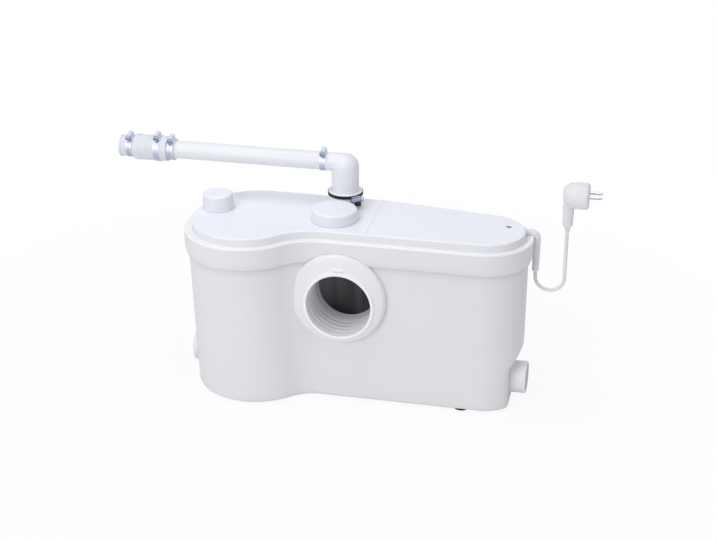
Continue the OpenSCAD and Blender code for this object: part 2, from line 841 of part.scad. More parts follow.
module volute() {
    color(black)
        difference() {
            union() {
                at_motor() revolve([
                    [shaft_r + 4, volute_top - 6], [shaft_r + 4, volute_top], [volute_r, volute_top],
                    [volute_r, volute_low], [chamber_r, volute_low], [chamber_r, volute_top - 6]]);
                difference() {
                    at_duct() rod(duct_r, duct_run - stub_len, duct_run);
                    at_motor() rod(chamber_r + 1, volute_low - cut, volute_top - 6);
                }
            }
            at_duct() rod(duct_bore, duct_run - stub_len - cut, duct_run);
            at_motor() pump_screw_places() rod(pump_screw_r + 0.1, volute_low - cut, volute_top + cut);
        }
}

module suction_plate() {
    color(grey)
        at_motor()
            difference() {
                tube(volute_r, 20, volute_low - suction_t, volute_low);
                pump_screw_places() rod(pump_screw_r + 0.1, volute_low - suction_t - cut, volute_low + cut);
            }
}

module pump_screws() {
    color(steel)
        at_motor()
            pump_screw_places() {
                rod(pump_screw_r, volute_low - suction_t, volute_top + 6);
                rod(pump_screw_r + 1.5, volute_low - suction_t - 3, volute_low - suction_t);
            }
}

module impeller() {
    color(black)
        at_motor()
            difference() {
                union() {
                    rod(shaft_r + 5, volute_low + 4, volute_top - 12);
                    rod(impeller_r, volute_low + 6, volute_low + 9);
                    for (i = [0:vane_count - 1])
                        rotate([0, 0, i * 360 / vane_count])
                            translate([shaft_r + 3, -1.5, volute_low + 8])
                                cube([impeller_r - shaft_r - 4, 3, 22]);
                }
                rod(shaft_r, 0, volute_top);
            }
}

module grinder_ring() {
    top = volute_low - suction_t;
    color(steel)
        at_motor()
            difference() {
                tube(grinder_r + 6, grinder_r, top - 26, top);
                for (i = [0:slot_count - 1])
                    rotate([0, 0, i * 360 / slot_count])
                        translate([grinder_r - 5, -2.5, top - 22]) cube([20, 5, 16]);
            }
}

module grinder_blade() {
    low = volute_low - 24;
    color(steel)
        at_motor()
            difference() {
                union() {
                    rod(shaft_r + 4, low, low + 10);
                    for (a = [0, 180])
                        rotate([0, 0, a]) {
                            translate([shaft_r + 1, -4, low + 2]) cube([grinder_r - shaft_r - 2.5, 8, 5]);
                            translate([grinder_r - 6, -4, low + 2]) cube([4.5, 8, 12]);
                        }
                }
                rod(shaft_r, 0, volute_low);
            }
}

module grinder_nut() {
    low = volute_low - 30;
    color(steel)
        at_motor()
            difference() {
                translate([0, 0, low]) cylinder(r = shaft_r + 4, h = 6, $fn = 6);
                rod(shaft_r, 0, volute_low);
            }
}

module discharge_riser() {
    color(black)
        difference() {
            union() {
                at_elbow() rod(riser_r, duct_z - riser_r, riser_top);
                at_elbow() rod(neck_bore, socket_low - 4, socket_low);
                at_duct() rod(duct_r, 0, duct_run - stub_len);
            }
            at_elbow() rod(riser_bore, duct_z - duct_bore, riser_top + cut);
            at_duct() rod(duct_bore, 0, duct_run);
        }
}

module at_check_pin() at_elbow() translate([0, check_pin_y, check_pin_z]) rotate([0, 90, 0]) children();

module check_flap() {
    color(black)
        difference() {
            union() {
                at_elbow() rod(check_r, riser_top + run_gap, riser_top + run_gap + 2.4);
                at_check_pin() rod(check_pin_r + 1.2, -5, 5);
                at_elbow() translate([-4, 8, riser_top + run_gap]) cube([8, check_pin_y - 8, 2.4]);
            }
            at_check_pin() rod(check_pin_r + bore_gap, -20, 20);
        }
}

module check_flap_pin() {
    half = sqrt(neck_bore * neck_bore - check_pin_y * check_pin_y) + 0.6;
    color(steel) at_check_pin() rod(check_pin_r, -half, half);
}

module discharge_sleeve() {
    color(white)
        at_elbow() revolve([
            [elbow_r + bore_gap, neck_seat], [elbow_r + 2.5, neck_seat], [elbow_r + 2.5, neck_z],
            [grommet_r, neck_z], [grommet_r, grommet_z - 1], [grommet_r - 1, grommet_z],
            [elbow_r + bore_gap, grommet_z]]);
}

module discharge_elbow() {
    low = neck_seat + fit_gap;
    bend_z = pipe_z + pipe_r + 0.5 - elbow_r;
    color(white)
        difference() {
            union() {
                at_elbow() rod(elbow_r, low, bend_z);
                at_elbow() translate([0, 0, bend_z]) sphere(r = elbow_r);
                at_pipe(elbow_x) rod(pipe_r + 0.5, 0, elbow_x - stub_x);
                at_pipe(elbow_x) rod(pipe_r - pipe_t, 0, elbow_x - stub_x + 28);
            }
            at_elbow() rod(elbow_r - elbow_t, low - cut, bend_z);
            at_elbow() translate([0, 0, bend_z]) sphere(r = elbow_r - elbow_t);
            at_pipe(elbow_x) rod(pipe_r - pipe_t - 2.5, 0, elbow_x - stub_x + 40);
        }
}

module discharge_pipe() {
    color(white) at_pipe(stub_x) tube(pipe_r, pipe_r - pipe_t, 0, pipe_len);
}

module pipe_coupling() {
    span = coupling_len;
    right = coupling_right - step_right;
    left = coupling_right - step_left;
    color(white)
        at_pipe(coupling_right) revolve([
            [pipe_r, 0], [sleeve_r - 0.6, 0], [sleeve_r, 0.6], [sleeve_r, right], [coupling_r - 1, right],
            [coupling_r, right + 1], [coupling_r, left - 9], [coupling_r + 0.8, left - 8],
            [coupling_r + 0.8, left - 2], [coupling_r - 0.4, left - 0.6], [sleeve_r, left],
            [sleeve_r, span - 4], [sleeve_r + 0.9, span - 3], [sleeve_r + 0.9, span - 0.8],
            [sleeve_r + 0.2, span], [pipe_r, span], [pipe_r, span - coupling_grip],
            [pipe_r - pipe_t, span - coupling_grip], [pipe_r - pipe_t, coupling_grip],
            [pipe_r, coupling_grip]]);
}

// Worm drive clamp around the local z axis, with its worm housing on the local x side
module hose_clamp(r, width, aside = 0) {
    difference() {
        union() {
            tube(r + band_t, r, -width / 2, width / 2);
            worm_axis(r, aside) translate([0.2 - worm_out, -clamp_w / 2, house_low])
                cube([worm_out + worm_r + 0.6, clamp_w, house_top - house_low]);
        }
        worm_axis(r, aside) rod(worm_r + bore_gap, -30, 60);
        rod(r, -2 * clamp_w, 2 * clamp_w);
    }
}

// Along the worm screw toward its head
module worm_axis(r, aside = 0) translate([r + worm_out, 0, aside]) rotate([90, 0, 0]) children();

// Worm screw with a slotted hexagon head
module clamp_screw(r, aside = 0)
    worm_axis(r, aside) {
        rod(worm_r, house_low - 2, house_top + fit_gap);
        difference() {
            translate([0, 0, house_top + fit_gap]) cylinder(r = head_r, h = head_len - fit_gap, $fn = 6);
            translate([-slot_w / 2, -head_r - cut, house_top + head_len - slot_deep])
                cube([slot_w, 2 * (head_r + cut), slot_deep + cut]);
        }
    }

module pipe_clamps() {
    color(steel)
        for (i = [0, 1])
            at_clamp(pipe_clamp_at[i]) hose_clamp(pipe_clamp_r[i], band_w);
}

module coupling_clamps() {
    color(steel)
        for (i = [0, 1])
            at_clamp(coupling_clamp_at[i]) hose_clamp(coupling_clamp_r[i], band_w);
}

module pipe_clamp_screw_right() color(steel) at_clamp(pipe_clamp_at[0]) clamp_screw(pipe_clamp_r[0]);
module pipe_clamp_screw_left() color(steel) at_clamp(pipe_clamp_at[1]) clamp_screw(pipe_clamp_r[1]);
module coupling_screw_right() color(steel) at_clamp(coupling_clamp_at[0]) clamp_screw(coupling_clamp_r[0]);
module coupling_screw_left() color(steel) at_clamp(coupling_clamp_at[1]) clamp_screw(coupling_clamp_r[1]);

module discharge_clamp()
    color(black) at_neck_clamp() hose_clamp(grommet_r, neck_clamp_w, neck_worm_drop);

module discharge_clamp_screw() color(steel) at_neck_clamp() clamp_screw(grommet_r, neck_worm_drop);

module vent_cap() {
    low = panel_z + run_gap;
    top = panel_z + vent_h;
    color(white)
        at_vent() revolve([
            [vent_r - cap_t, low], [vent_r, low], [vent_r - 1, top - 4.5], [vent_r - 1.8, top - 2.4],
            [vent_r - 3.6, top - 1], [vent_r - 6.5, top - 0.4], [0, top], [0, top - cap_t - 0.4],
            [vent_r - cap_t - 5, top - cap_t - 0.8], [vent_r - cap_t, top - cap_t - 3 + 0.4]]);
}

module vent_filter() {
    color(black) at_vent() rod(vent_neck_r - vent_neck_t, panel_z, panel_z + vent_neck_h - 3);
}

module top_inlet_cap() {
    low = panel_z + run_gap;
    top = panel_z + plug_cap_h;
    color(white)
        at_top_cap() revolve([
            [top_neck_r + run_gap, low], [plug_cap_r, low], [plug_cap_r - 1.9, top - 3.5],
            [plug_cap_r - 2.8, top - 1.4], [plug_cap_r - 5, top - 0.3], [0, top], [0, top - cap_t],
            [top_neck_r + run_gap, top - cap_t]]);
}

module top_ring(r)
    rotate_extrude()
        translate([top_neck_r - 0.75, panel_z + top_neck_h - 6]) circle(r = r);

module top_inlet_seal() color(black) at_top_cap() top_ring(ring_r);

module capacitor() {
    color(grey)
        translate([cap_x, cap_y, tray_top]) {
            rod(15, 0, 33);
            for (s = [-5, 5]) translate([s - 3, -0.4, 32]) cube([6, 0.8, 5]);
        }
}

module terminal_block() {
    color(grey)
        translate([panel_right - 88, 32, tray_top])
            difference() {
                cube([34, 16, 14]);
                for (i = [0:2]) translate([6.5 + i * 10.5, 8, 6]) cylinder(r = 3, h = 20);
            }
}

module pressure_switch() {
    color(black)
        at_switch() revolve([
            [3, tray_top], [switch_r, tray_top], [switch_r, tray_top + switch_h],
            [plunger_r + bore_gap, tray_top + switch_h], [plunger_r + bore_gap, tray_top + switch_h - 3],
            [switch_r - 3, tray_top + switch_h - 3], [switch_r - 3, tray_top + 2], [3, tray_top + 2]]);
}

module pressure_plunger() {
    color(copper)
        at_switch() {
            rod(switch_r - 3.5, tray_top + 2 + fit_gap, tray_top + 5);
            rod(plunger_r, tray_top + 5, tray_top + switch_h + 3);
        }
}

module microswitch() {
    color(black)
        at_switch() {
            translate([-11, -5.5, tray_top + switch_h + 6]) cube([22, 11, 11]);
            for (x = [-11, 8]) translate([x, -5.5, tray_top + switch_h]) cube([3, 11, 6]);
        }
}

module air_bell() {
    color(black)
        at_switch() revolve([
            [bell_r, bell_low], [bell_r, tray_floor], [bell_neck_r, tray_floor],
            [bell_neck_r, tray_top], [3, tray_top],
            [3, tray_floor - bell_t], [bell_r - bell_t, tray_floor - bell_t], [bell_r - bell_t, bell_low]]);
}

module at_gland() translate([gland_x - gland_bend, cord_y, gland_z]) rotate([0, 90, 0]) children();

// Strain relief: out through the motor cover's end, round a quarter bend and down beside the skirt
module cord_gland() {
    inner = end_x + sqrt(pow(end_r - panel_wall, 2) - pow(cord_y - end_r, 2)) - 6;
    color(white) {
        at_gland() rod(gland_r, inner - gland_x + gland_bend, 0);
        translate([gland_x - gland_bend, cord_y, gland_z - gland_bend])
            rotate([90, 0, 0])
                rotate_extrude(angle = 90)
                    translate([gland_bend, 0]) circle(r = gland_r);
        translate([gland_x, cord_y, gland_low])
            cylinder(r1 = cord_r + 1.8, r2 = gland_r, h = gland_z - gland_bend - gland_low);
    }
}

// Mains lead: a ring of points square to the route at each of its points
function way(i) = let (a = route[max(0, i - 1)], b = route[min(len(route) - 1, i + 1)])
    (b - a) / norm(b - a);
function cord_ring(i) = [for (k = [0:cord_sides - 1]) let (a = 360 * k / cord_sides)
    [route[i][0] - way(i)[1] * cord_r * sin(a), cord_y + cord_r * cos(a),
     route[i][1] + way(i)[0] * cord_r * sin(a)]];

module power_cord() {
    n = cord_sides;
    m = len(route);
    sides = [for (k = [0:m - 2]) for (i = [0:n - 1]) let (j = (i + 1) % n)
        each [[k * n + i, k * n + j, (k + 1) * n + i], [k * n + j, (k + 1) * n + j, (k + 1) * n + i]]];
    ends = [[for (i = [0:n - 1]) n - 1 - i], [for (i = [0:n - 1]) (m - 1) * n + i]];
    color(white) polyhedron([for (i = [0:m - 1]) each cord_ring(i)], concat(sides, ends));
}

// Angled two pin plug: round body facing +X, a thick neck below it and a short nose round the lead
module plug_body() {
    back = plug_x - 6;
    color(white)
        translate([0, cord_y, 0]) {
            difference() {
                union() {
                    translate([back, 0, plug_z]) rotate([0, 90, 0]) revolve([
                        [0, 0], [11, 0], [14.5, 1.5], [17, 5], [18.5, 11], [plug_r, 17],
                        [plug_r, plug_face - back - 4], [plug_r - 1.2, plug_face - back - 1.2],
                        [plug_r - 3, plug_face - back], [0, plug_face - back]]);
                    translate([plug_x, 0, relief_top]) cylinder(r1 = 7.6, r2 = 9, h = plug_z - relief_top);
                    translate([plug_x, 0, relief_low])
                        cylinder(r1 = cord_r + 0.8, r2 = 4.6, h = relief_top - relief_low);
                }
                for (s = [-0.5, 0.5])
                    translate([plug_face - plug_pin_root, s * plug_pin_gap, plug_z + 2]) rotate([0, 90, 0])
                        cylinder(r = plug_pin_r, h = 20);
            }
        }
}

module plug_pins() {
    color(steel)
        for (s = [-0.5, 0.5])
            translate([plug_face - plug_pin_root, cord_y + s * plug_pin_gap, plug_z + 2]) rotate([0, 90, 0])
                revolve([[0, 0], [plug_pin_r, 0], [plug_pin_r, plug_pin_root + plug_pin_len - 2],
                         [plug_pin_r / 2, plug_pin_root + plug_pin_len],
                         [0, plug_pin_root + plug_pin_len]]);
}

place() tank();
place() main_cover();
place() motor_cover();
place() motor_cover_screw();
place() cover_gasket();
place() cover_screws();
place() electrics_tray();
place() inlet_collar();
place() inlet_sleeve();
place() inlet_baffle();
place() side_inlet_right();
place() side_inlet_left();
place() side_flap_right();
place() side_flap_left();
place() side_flap_pins();
place() side_inlet_seals();
place() rubber_feet();
place() motor_housing();
place() stator();
place() motor_end_plate();
place() motor_bearings();
place() shaft_seal();
place() shaft();
place() rotor_core();
place() volute();
place() suction_plate();
place() pump_screws();
place() impeller();
place() grinder_ring();
place() grinder_blade();
place() grinder_nut();
place() discharge_riser();
place() check_flap();
place() check_flap_pin();
place() discharge_sleeve();
place() discharge_elbow();
place() discharge_pipe();
place() pipe_coupling();
place() pipe_clamps();
place() coupling_clamps();
place() pipe_clamp_screw_right();
place() pipe_clamp_screw_left();
place() coupling_screw_right();
place() coupling_screw_left();
place() discharge_clamp();
place() discharge_clamp_screw();
place() vent_cap();
place() vent_filter();
place() top_inlet_cap();
place() top_inlet_seal();
place() capacitor();
place() terminal_block();
place() pressure_switch();
place() pressure_plunger();
place() microswitch();
place() air_bell();
place() cord_gland();
place() power_cord();
place() plug_body();
place() plug_pins();
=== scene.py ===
from math import atan2, cos, degrees, pi, radians, sin, sqrt

import bmesh
import bpy
from mathutils import Matrix, Vector


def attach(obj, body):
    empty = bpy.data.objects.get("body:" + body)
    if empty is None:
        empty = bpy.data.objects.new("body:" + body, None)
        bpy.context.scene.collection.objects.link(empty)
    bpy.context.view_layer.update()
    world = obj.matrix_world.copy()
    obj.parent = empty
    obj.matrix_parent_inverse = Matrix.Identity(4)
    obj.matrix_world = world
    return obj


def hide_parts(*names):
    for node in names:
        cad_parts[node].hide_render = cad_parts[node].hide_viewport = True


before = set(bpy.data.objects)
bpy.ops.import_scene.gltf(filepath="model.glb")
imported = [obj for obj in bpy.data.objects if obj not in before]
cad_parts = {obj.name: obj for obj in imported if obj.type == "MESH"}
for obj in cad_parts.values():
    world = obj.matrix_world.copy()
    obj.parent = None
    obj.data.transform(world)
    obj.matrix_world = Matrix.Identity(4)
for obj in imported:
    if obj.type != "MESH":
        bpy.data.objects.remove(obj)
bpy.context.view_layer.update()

scene = bpy.context.scene
scene.view_settings.view_transform = "Standard"
mm = 0.001
# pieces are drawn in millimetres from the pan inlet's axis and the tank's straight front edge
middle = (51.5, -42.75)  # where that point lies in the frame


def inRow(x, y, z):
    return Vector(((x + middle[0]) * mm, (y + middle[1]) * mm, z * mm))


def addObject(name, data):
    made = bpy.data.objects.new(name, data)
    scene.collection.objects.link(made)
    return made


print("frame loaded:", len(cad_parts), "nodes")

# camera, at the photograph's angle
view = {"turn": 12.5, "rise": 24.5, "away": 2500, "look": (37.5, 137.25, 140), "lens": 77.05}
turn, rise = radians(view["turn"]), radians(view["rise"])
look = Vector(view["look"]) * mm
back = Vector((sin(turn) * cos(rise), -cos(turn) * cos(rise), sin(rise)))
cameraData = bpy.data.cameras.new("photoCamera")
cameraData.lens = view["lens"]
cameraData.sensor_width = 36
cameraData.clip_end = 50
cameraObject = addObject("photoCamera", cameraData)
cameraObject.location = look + back * view["away"] * mm
cameraObject.rotation_euler = back.to_track_quat("Z", "Y").to_euler()
scene.camera = cameraObject


def hexColor(code):  # sRGB hex to linear
    parts = [int(code[i:i + 2], 16) / 255 for i in (1, 3, 5)]
    return [p / 12.92 if p <= 0.04045 else ((p + 0.055) / 1.055) ** 2.4 for p in parts] + [1.0]


def addNode(tree, kind, inputs=None, links=None, **settings):
    node = tree.nodes.new(kind)
    for key, value in settings.items():
        setattr(node, key, value)
    for key, value in (inputs or {}).items():
        node.inputs[key].default_value = value
    for key, source in (links or {}).items():
        tree.links.new(source, node.inputs[key])
    return node


def newSurface(name, **sockets):
    material = bpy.data.materials.new(name)
    material.use_nodes = True
    tree = material.node_tree
    shader = tree.nodes["Principled BSDF"]
    for key, value in sockets.items():
        shader.inputs[key.replace("_", " ")].default_value = value
    places = addNode(tree, "ShaderNodeTexCoord")
    return material, tree, shader, places.outputs["Object"]


def perMm(size):  # pattern scale for a size in millimetres
    return 1 / (size * mm)


def clouds(tree, places, sizeMm, detail):  # even noise
    sizes = {"Scale": perMm(sizeMm), "Detail": detail}
    return addNode(tree, "ShaderNodeTexNoise", sizes, {"Vector": places}).outputs["Fac"]


def streaks(tree, places, sizesMm, detail):  # noise drawn out along the axes with the larger sizes
    scale = [perMm(size) for size in sizesMm]
    drawn = addNode(tree, "ShaderNodeMapping", {"Scale": scale}, {"Vector": places}).outputs["Vector"]
    sizes = {"Scale": 1.0, "Detail": detail}
    return addNode(tree, "ShaderNodeTexNoise", sizes, {"Vector": drawn}).outputs["Fac"]


def twoTone(tree, pattern, dark, light, low=0.0, high=1.0):  # colour between two tones, by a pattern
    ramp = addNode(tree, "ShaderNodeValToRGB", links={"Fac": pattern})
    stops = ramp.color_ramp.elements
    stops[0].position, stops[1].position = low, high
    stops[0].color, stops[1].color = hexColor(dark), hexColor(light)
    return ramp.outputs["Color"]


# one pattern gives the range of roughness and the relief, by its strength and depth in millimetres
def dressSurface(tree, shader, color, pattern, rough, bump=None):
    sheen = addNode(tree, "ShaderNodeMapRange", {"To Min": rough[0], "To Max": rough[1]}, {"Value": pattern})
    tree.links.new(color, shader.inputs["Base Color"])
    tree.links.new(sheen.outputs["Result"], shader.inputs["Roughness"])
    if bump:
        relief = addNode(tree, "ShaderNodeBump", {"Strength": bump[0], "Distance": bump[1] * mm},
                         {"Height": pattern})
        tree.links.new(relief.outputs["Normal"], shader.inputs["Normal"])


# injection moulded ABS: smooth cool white, a soft sheen, faint flow clouds and a fine spark grain; where
# asked, painted shade darkens the colour below a height
def mouldedAbs(name, light, dark, roughness, shade=None):
    material, tree, shader, places = newSurface(name, IOR=1.54)
    color = twoTone(tree, clouds(tree, places, 180, 1.0), dark, light, 0.3, 0.7)
    grain = clouds(tree, places, 2.5, 2.0)  # the real grain is 0.2 mm, drawn larger so that it shows
    if shade:  # painted shade: the wall's colour dims softly over this depth, up to the skirt, where the skirt's shadow falls
        height = addNode(tree, "ShaderNodeSeparateXYZ", links={"Vector": places})
        span = {"From Min": (shade["top"] - shade["deep"]) * mm, "From Max": shade["top"] * mm,
                "To Min": 1.0, "To Max": shade["least"]}
        dim = addNode(tree, "ShaderNodeMapRange", span, {"Value": height.outputs["Z"]},
                      interpolation_type="SMOOTHSTEP").outputs["Result"]
        toned = addNode(tree, "ShaderNodeHueSaturation", links={"Value": dim, "Color": color})
        color = toned.outputs["Color"]
    dressSurface(tree, shader, color, grain, (roughness - 0.04, roughness + 0.05), (0.05, 0.2))
    return material


# the tank's white, with painted shade on the wall just under the skirt
tankAbs = mouldedAbs("absMouldedTank", "#e5e5e7", "#e3e3e6", 0.55, {"top": 236, "deep": 16, "least": 0.9})
skirtAbs = mouldedAbs("absMouldedSkirt", "#e6e6e8", "#e4e4e7", 0.5)
# a lighter, bluer copy of the white for the cover's and the caps' tops: painted light
coverLitAbs = mouldedAbs("absMouldedCoverLit", "#eff2fa", "#edf0f8", 0.3)
# a darker copy of the white for the caps' sides: painted shade
capShadedAbs = mouldedAbs("absMouldedCapShaded", "#e6e8ee", "#e4e6ec", 0.3)
# a brighter copy of the white for the ledge: painted highlight along its rounded edge
ledgeHighlightAbs = mouldedAbs("absMouldedLedgeHighlight", "#f4f4f6", "#f2f2f5", 0.3)
fittingAbs = mouldedAbs("absMouldedFitting", "#e9eaed", "#e7e8ec", 0.34)


# extruded PVC pipe: satin white with faint draw lines along it
def extrudedPvc():
    material, tree, shader, places = newSurface("pvcExtrudedPipe", IOR=1.53)
    lines = streaks(tree, places, (300, 3, 3), 2.0)
    color = twoTone(tree, lines, "#e4e6ea", "#eaecf0")
    dressSurface(tree, shader, color, lines, (0.4, 0.5), (0.04, 0.2))
    return material


pipePvc = extrudedPvc()


# moulded rubber and other soft stuff: matte, slightly mottled, with a fine grain
def mouldedRubber(name, light, dark, roughness, grainMm):
    material, tree, shader, places = newSurface(name, IOR=1.52, Specular_IOR_Level=0.35)
    color = twoTone(tree, clouds(tree, places, 30, 2.0), dark, light, 0.3, 0.7)
    grain = clouds(tree, places, grainMm, 3.0)
    dressSurface(tree, shader, color, grain, (roughness - 0.08, roughness + 0.08), (0.02, 0.2))
    return material


whiteRubber = mouldedRubber("epdmMouldedWhite", "#e0e3ea", "#dbdee6", 0.6, 5)
# a lighter copy of the white rubber for the sleeves, which sit in shade: painted light
litWhiteRubber = mouldedRubber("epdmMouldedWhiteLit", "#f6f6f8", "#f1f2f4", 0.6, 1.5)
blackRubber = mouldedRubber("epdmMouldedBlack", "#1b1b1e", "#121214", 0.62, 1.5)
softVinyl = mouldedRubber("pvcExtrudedSoftWhite", "#e8e8eb", "#e1e1e5", 0.48, 2.0)
# a grey copy of the white rubber: painted shade for the inner end of the inlet's tube
shadeGreyRubber = mouldedRubber("epdmPaintedShadeGrey", "#d9dadd", "#d0d1d5", 0.6, 1.5)
carbonFelt = mouldedRubber("carbonFeltNeedled", "#242426", "#0e0e10", 0.9, 0.8)


# moulded polypropylene: a dull sheen with soft upright flow streaks
def mouldedPolypropylene(name, light, dark, roughness, streakMm):
    material, tree, shader, places = newSurface(name, IOR=1.49)
    flow = streaks(tree, places, (streakMm, streakMm, 400), 1.0)
    color = twoTone(tree, flow, dark, light, 0.36, 0.64)
    dressSurface(tree, shader, color, flow, (roughness - 0.06, roughness + 0.1))
    return material


blackPolypropylene = mouldedPolypropylene("polypropyleneMouldedBlack", "#3c3c40", "#232326", 0.5, 30)
charcoalPolypropylene = mouldedPolypropylene("polypropyleneMouldedCharcoal", "#808084", "#545458", 0.5, 26)
greyPolyamide = mouldedPolypropylene("polyamideMouldedGrey", "#9a9ca1", "#85878c", 0.5, 9)
blackBand = mouldedPolypropylene("steelStripBlackCoated", "#111116", "#08080b", 0.5, 9)


# rolled stainless strip: cool bright metal with fine lines along the roll
def rolledSteel(name, light, dark, roughness, lineMm):
    material, tree, shader, places = newSurface(name, Metallic=1.0)
    lines = streaks(tree, places, (lineMm, 40, 40), 4.0)
    color = twoTone(tree, lines, dark, light, 0.3, 0.7)
    dressSurface(tree, shader, color, lines, (roughness - 0.07, roughness + 0.1), (0.1, 0.1))
    return material


bandSteel = rolledSteel("stainlessRolledBand", "#d6dbec", "#bdc3d9", 0.48, 0.8)
housingSteel = rolledSteel("stainlessPressedHousing", "#a3a8bc", "#81879d", 0.36, 0.8)
screwSteel = rolledSteel("zincPlatedScrew", "#bac0d4", "#989fb6", 0.36, 1.2)
turnedSteel = rolledSteel("stainlessTurned", "#c9cacd", "#a4a6aa", 0.28, 1.0)
castZinc = rolledSteel("zincDieCast", "#a5a6a9", "#8b8c90", 0.5, 3.0)
nickelBrass = rolledSteel("brassNickelPlated", "#d3d6de", "#b6bac6", 0.22, 2.0)


# stacked electrical steel: thin level layers under varnish
def laminatedSteel():
    material, tree, shader, places = newSurface("electricalSteelStacked", Metallic=0.9, Roughness=0.42)
    # the real sheets are 0.5 mm, drawn at 2 mm so that they show
    layers = addNode(tree, "ShaderNodeTexWave", {"Scale": perMm(2) / 20, "Distortion": 0.3},
                     {"Vector": places}, bands_direction="Z").outputs["Fac"]
    color = twoTone(tree, layers, "#6b6a6c", "#9b9a9c")
    bump = addNode(tree, "ShaderNodeBump", {"Strength": 0.3, "Distance": 0.3 * mm}, {"Height": layers})
    tree.links.new(color, shader.inputs["Base Color"])
    tree.links.new(bump.outputs["Normal"], shader.inputs["Normal"])
    return material


stackedSteel = laminatedSteel()
print("materials made")

# solids that keep their CAD shape, by finish
finishes = {
    blackRubber: ["cover_gasket", "side_flap_right", "side_flap_left", "side_inlet_seals", "shaft_seal",
                  "check_flap", "top_inlet_seal"],
    blackPolypropylene: ["motor_housing", "volute", "impeller", "discharge_riser", "pressure_switch",
                         "microswitch", "air_bell"],
    greyPolyamide: ["capacitor", "terminal_block", "pressure_plunger"],
    turnedSteel: ["motor_cover_screw", "cover_screws", "side_flap_pins", "motor_bearings", "shaft",
                  "suction_plate", "pump_screws", "grinder_ring", "grinder_blade", "grinder_nut",
                  "check_flap_pin"],
    stackedSteel: ["stator", "rotor_core"],
    castZinc: ["motor_end_plate"],
    nickelBrass: ["plug_pins"],
    carbonFelt: ["vent_filter"],
    fittingAbs: ["electrics_tray"],
}
for material, nodes in finishes.items():
    for node in nodes:
        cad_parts[node].data.materials.clear()
        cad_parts[node].data.materials.append(material)
print("CAD solids finished:", sum(len(nodes) for nodes in finishes.values()))


# mesh tools, in millimetres
def addPiece(name, bm, material, slot, *nodes, body="pump", sharp=35):
    bmesh.ops.remove_doubles(bm, verts=bm.verts, dist=0.001)
    bmesh.ops.recalc_face_normals(bm, faces=bm.faces)
    for v in bm.verts:
        v.co = inRow(*v.co)
    mesh = bpy.data.meshes.new(name)
    bm.to_mesh(mesh)
    bm.free()
    mesh.shade_smooth()
    mesh.set_sharp_from_angle(angle=radians(sharp))
    mesh.materials.append(material)
    made = addObject(name, mesh)
    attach(made, body)
    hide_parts(*nodes)
    print("made", name, len(mesh.polygons), "faces")
    return made


def paintSidesShaded(made, material):  # upright faces in another copy of the white, darker than the tops: painted shade on the sides
    made.data.materials.append(material)
    for face in made.data.polygons:
        face.material_index = int(abs(face.normal.z) < 0.5)


def roundCorners(points, loop=False, steps=4):  # points are (across, up) or (across, up, rounding)
    done = []
    last = len(points) - 1
    for i, p in enumerate(points):
        if len(p) < 3 or (not loop and i in (0, last)):
            done.append((p[0], p[1]))
            continue
        here = Vector(p[:2])
        before = Vector(points[i - 1][:2]) - here
        after = Vector(points[(i + 1) % len(points)][:2]) - here
        reach = min(p[2], before.length * 0.48, after.length * 0.48)
        start, end = here + before.normalized() * reach, here + after.normalized() * reach
        for k in range(steps + 1):
            t = k / steps
            q = start * (1 - t) ** 2 + here * 2 * t * (1 - t) + end * t * t
            done.append((q.x, q.y))
    return done


def joinRings(bm, rings, loop=False, closed=False):
    pairs = list(zip(rings, rings[1:])) + ([(rings[-1], rings[0])] if loop else [])
    for a, b in pairs:
        for i in range(max(len(a), len(b))):
            corners = [a[i % len(a)], a[(i + 1) % len(a)], b[(i + 1) % len(b)], b[i % len(b)]]
            corners = list(dict.fromkeys(corners))
            if len(corners) > 2:
                bm.faces.new(corners)
    if closed:
        bm.faces.new(rings[0])
        bm.faces.new(rings[-1])


def circle(bm, place, r, h, steps):
    angles = [2 * pi * k / steps for k in range(steps)]
    return [bm.verts.new(place @ Vector((r * cos(a), r * sin(a), h))) for a in angles]


def lathe(bm, profile, place, loop=True, steps=80):  # profile is (radius, height) along the local z axis
    joinRings(bm, [circle(bm, place, r, h, steps if r > 0.001 else 1) for r, h in profile], loop)


def turned(profile, place, loop=True, steps=80):  # one lathed form as a mesh of its own
    bm = bmesh.new()
    lathe(bm, profile, place, loop, steps)
    return bm


def plain(inner, outer, low, high):  # profile of a plain ring or rod
    return [(inner, low), (outer, low), (outer, high), (inner, high)]


def sweep(bm, path, radii, sides=32):  # round tube along points, closed at both ends
    rings = []
    across = None
    for i, p in enumerate(path):
        way = (path[min(i + 1, len(path) - 1)] - path[max(i - 1, 0)]).normalized()
        across = (across - way * across.dot(way)).normalized() if across else way.orthogonal().normalized()
        frameAt = Matrix((across, way.cross(across), way)).transposed().to_4x4()
        rings.append(circle(bm, Matrix.Translation(p) @ frameAt, radii[i], 0, sides))
    joinRings(bm, rings, closed=True)


def asObject(bm):
    bmesh.ops.recalc_face_normals(bm, faces=bm.faces)
    mesh = bpy.data.meshes.new("working")
    bm.to_mesh(mesh)
    bm.free()
    return addObject("working", mesh)


def asMesh(first, *others):  # the first object with its modifiers, and all of them put away
    result = bmesh.new()
    result.from_object(first, bpy.context.evaluated_depsgraph_get())
    for made in (first,) + others:
        mesh = made.data
        bpy.data.objects.remove(made)
        bpy.data.meshes.remove(mesh)
    return result


def carve(bm, tool):  # bm with tool taken away
    part, cutter = asObject(bm), asObject(tool)
    cutting = part.modifiers.new("carving", "BOOLEAN")
    cutting.object = cutter
    cutting.operation = "DIFFERENCE"
    cutting.solver = "EXACT"
    return asMesh(part, cutter)


def oneSkin(bm, cell, rounds):  # overlapping parts as one skin, eased where they meet
    part = asObject(bm)
    skin = part.modifiers.new("skin", "REMESH")
    skin.mode = "VOXEL"
    skin.voxel_size = cell
    ease = part.modifiers.new("ease", "SMOOTH")
    ease.factor = 0.5
    ease.iterations = rounds
    return asMesh(part)


